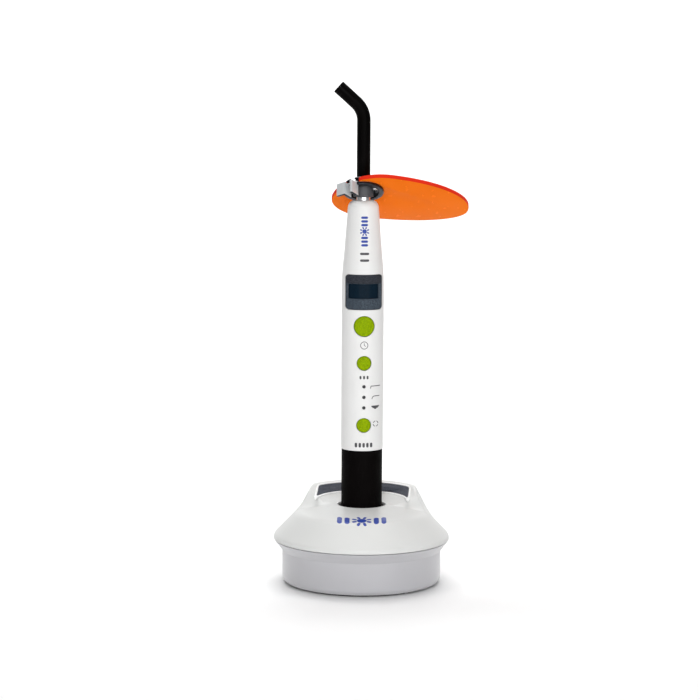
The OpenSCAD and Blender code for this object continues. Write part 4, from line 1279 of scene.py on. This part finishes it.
def add_handpiece():
    piece(battery_case(), "battery_pack", "pack_black", "battery_case")
    piece(front_shell(), "handpiece", "body_white", "front_shell")
    piece(rear_shell(), "handpiece", "body_white", "rear_shell")
    window = screen_frame()
    window.data.materials.append(MATERIALS["lcd_bezel"])

    def on_rim(at, normal):
        x, z = abs(at.x), abs(at.z - WINDOW_Z)
        return x > WINDOW_W / 2 - 0.35 or z > WINDOW_H / 2 - 0.35

    paint(window, MATERIALS["lcd_top"], lambda at, normal: at.z > WINDOW_Z + SCREEN_UP + SCREEN_H / 2)
    paint(window, MATERIALS["lcd_edge"], on_rim)
    piece(window, "handpiece", "lcd_bezel", "lcd_window")
    piece(screen_glass(), "handpiece", "lcd_glass")
    piece(mode_dots(), "handpiece", "dot_black", "mode_light_pipes")
    for button in ("start_button", "set_button", "mode_button"):
        piece(push_button(button), button, "button_green", button)
    piece(control_marks(), "handpiece", "print_grey")
    piece(nose_marks_blue(), "handpiece", "print_blue")
    piece(nose_marks_grey(), "handpiece", "print_grey")


def add_guide():
    piece(ferrule(), "light_guide", "ferrule_steel", "ferrule")
    piece(guide_sheath(), "light_guide", "sheath_black", "guide_sheath")
    piece(guide_core(), "light_guide", "fibre_glass", "guide_core")


def add_shield():
    band, ears = clip_ring()
    piece(band, "glare_shield", "clip_silver", "clip_ring")
    piece(ears, "glare_shield", "clip_silver")
    piece(shield_plate(), "glare_shield", "shield_orange", "shield_plate")


# ---------------------------------------------------------------- floor, light and camera


def add_stage():
    """Pale floor that curves up into a backdrop."""
    half, front, back, bend = 2.2, -2.2, 1.3, 0.7
    path = [(front, 0.0)] + [(back - bend + bend * math.sin(a), bend - bend * math.cos(a))
                             for a in (math.radians(6 * k) for k in range(16))] + [(back, 3.0)]
    verts = [(x, y, z) for x in (-half, half) for y, z in path]
    count = len(path)
    faces = [(k, k + 1, count + k + 1, count + k) for k in range(count - 1)]
    mesh = bpy.data.meshes.new("floor")
    mesh.from_pydata(verts, [], faces)
    mesh.polygons.foreach_set("use_smooth", [True] * len(mesh.polygons))
    floor = bpy.data.objects.new("floor", mesh)
    bpy.context.scene.collection.objects.link(floor)
    floor.data.materials.append(surface("floor_paper", (0.95, 0.95, 0.95), 0.6, cloud=120, variation=0.006,
                                        wear=(0.0, 1.0), grain=2, depth=0.01))
    floor.rotation_euler.z = math.radians(CAMERA_TURN)


CAMERA_TURN = -4.5
CAMERA_PITCH = 7.4
CAMERA_ROLL = 0.32
CAMERA_DISTANCE = 1.65
CAMERA_RIGHT = -0.0074
CAMERA_UP = 0.1389
CAMERA_LENS = 141.4
WORLD_LIGHT = 0.16


def camera_axes():
    turn, pitch = math.radians(CAMERA_TURN), math.radians(CAMERA_PITCH)
    forward = Vector((-math.sin(turn) * math.cos(pitch), math.cos(turn) * math.cos(pitch), -math.sin(pitch)))
    right = Vector((math.cos(turn), math.sin(turn), 0))
    return forward, right, right.cross(forward)


def add_camera():
    data = bpy.data.cameras.new("camera")
    data.lens = CAMERA_LENS
    data.sensor_width = 36.0
    data.clip_end = 20
    camera = bpy.data.objects.new("camera", data)
    bpy.context.scene.collection.objects.link(camera)
    forward, right, up = camera_axes()
    roll = Matrix.Rotation(math.radians(-CAMERA_ROLL), 3, forward)
    axes = Matrix((roll @ right, roll @ up, -forward)).transposed().to_4x4()
    at = -forward * CAMERA_DISTANCE + right * CAMERA_RIGHT + up * CAMERA_UP
    camera.matrix_world = Matrix.Translation(at) @ axes
    bpy.context.scene.camera = camera


def add_light(name, at, target, size, power):
    """Soft rectangular light at a point, turned to the target."""
    data = bpy.data.lights.new(name, "AREA")
    data.shape = "RECTANGLE"
    data.size, data.size_y = size
    data.energy = power
    light = bpy.data.objects.new(name, data)
    bpy.context.scene.collection.objects.link(light)
    light.location = at
    light.rotation_euler = (Vector(target) - Vector(at)).to_track_quat("-Z", "Y").to_euler()


OBJECT_MIDDLE = (0, 0, 0.14)
LIGHTS = (
    # name, place, target, width and height in metres, watts
    ("key", (-0.3, -1.75, 1.0), OBJECT_MIDDLE, (0.9, 0.7), 16.5),
    ("fill", (0.75, -1.6, 0.5), OBJECT_MIDDLE, (0.6, 1.0), 6),
    ("bounce", (-0.1, -1.5, 0.1), (0, 0, 0.02), (1.2, 0.16), 1.6),
    ("top", (0.0, 0.1, 1.6), OBJECT_MIDDLE, (1.1, 0.8), 9),
    ("backdrop", (0, 0.45, 1.25), (0, 1.3, 0.2), (1.1, 0.5), 11),
)


def add_lights():
    """Studio lights, and a faint even light from all round."""
    scene = bpy.context.scene
    scene.view_settings.view_transform = "Standard"
    world = bpy.data.worlds.new("studio")
    world.use_nodes = True
    background = world.node_tree.nodes["Background"]
    background.inputs["Color"].default_value = (1, 1, 1, 1)
    background.inputs["Strength"].default_value = WORLD_LIGHT
    scene.world = world
    for row in LIGHTS:
        add_light(*row)


dress_frame()
add_base()
add_handpiece()
add_guide()
add_shield()
add_stage()
add_lights()
add_camera()
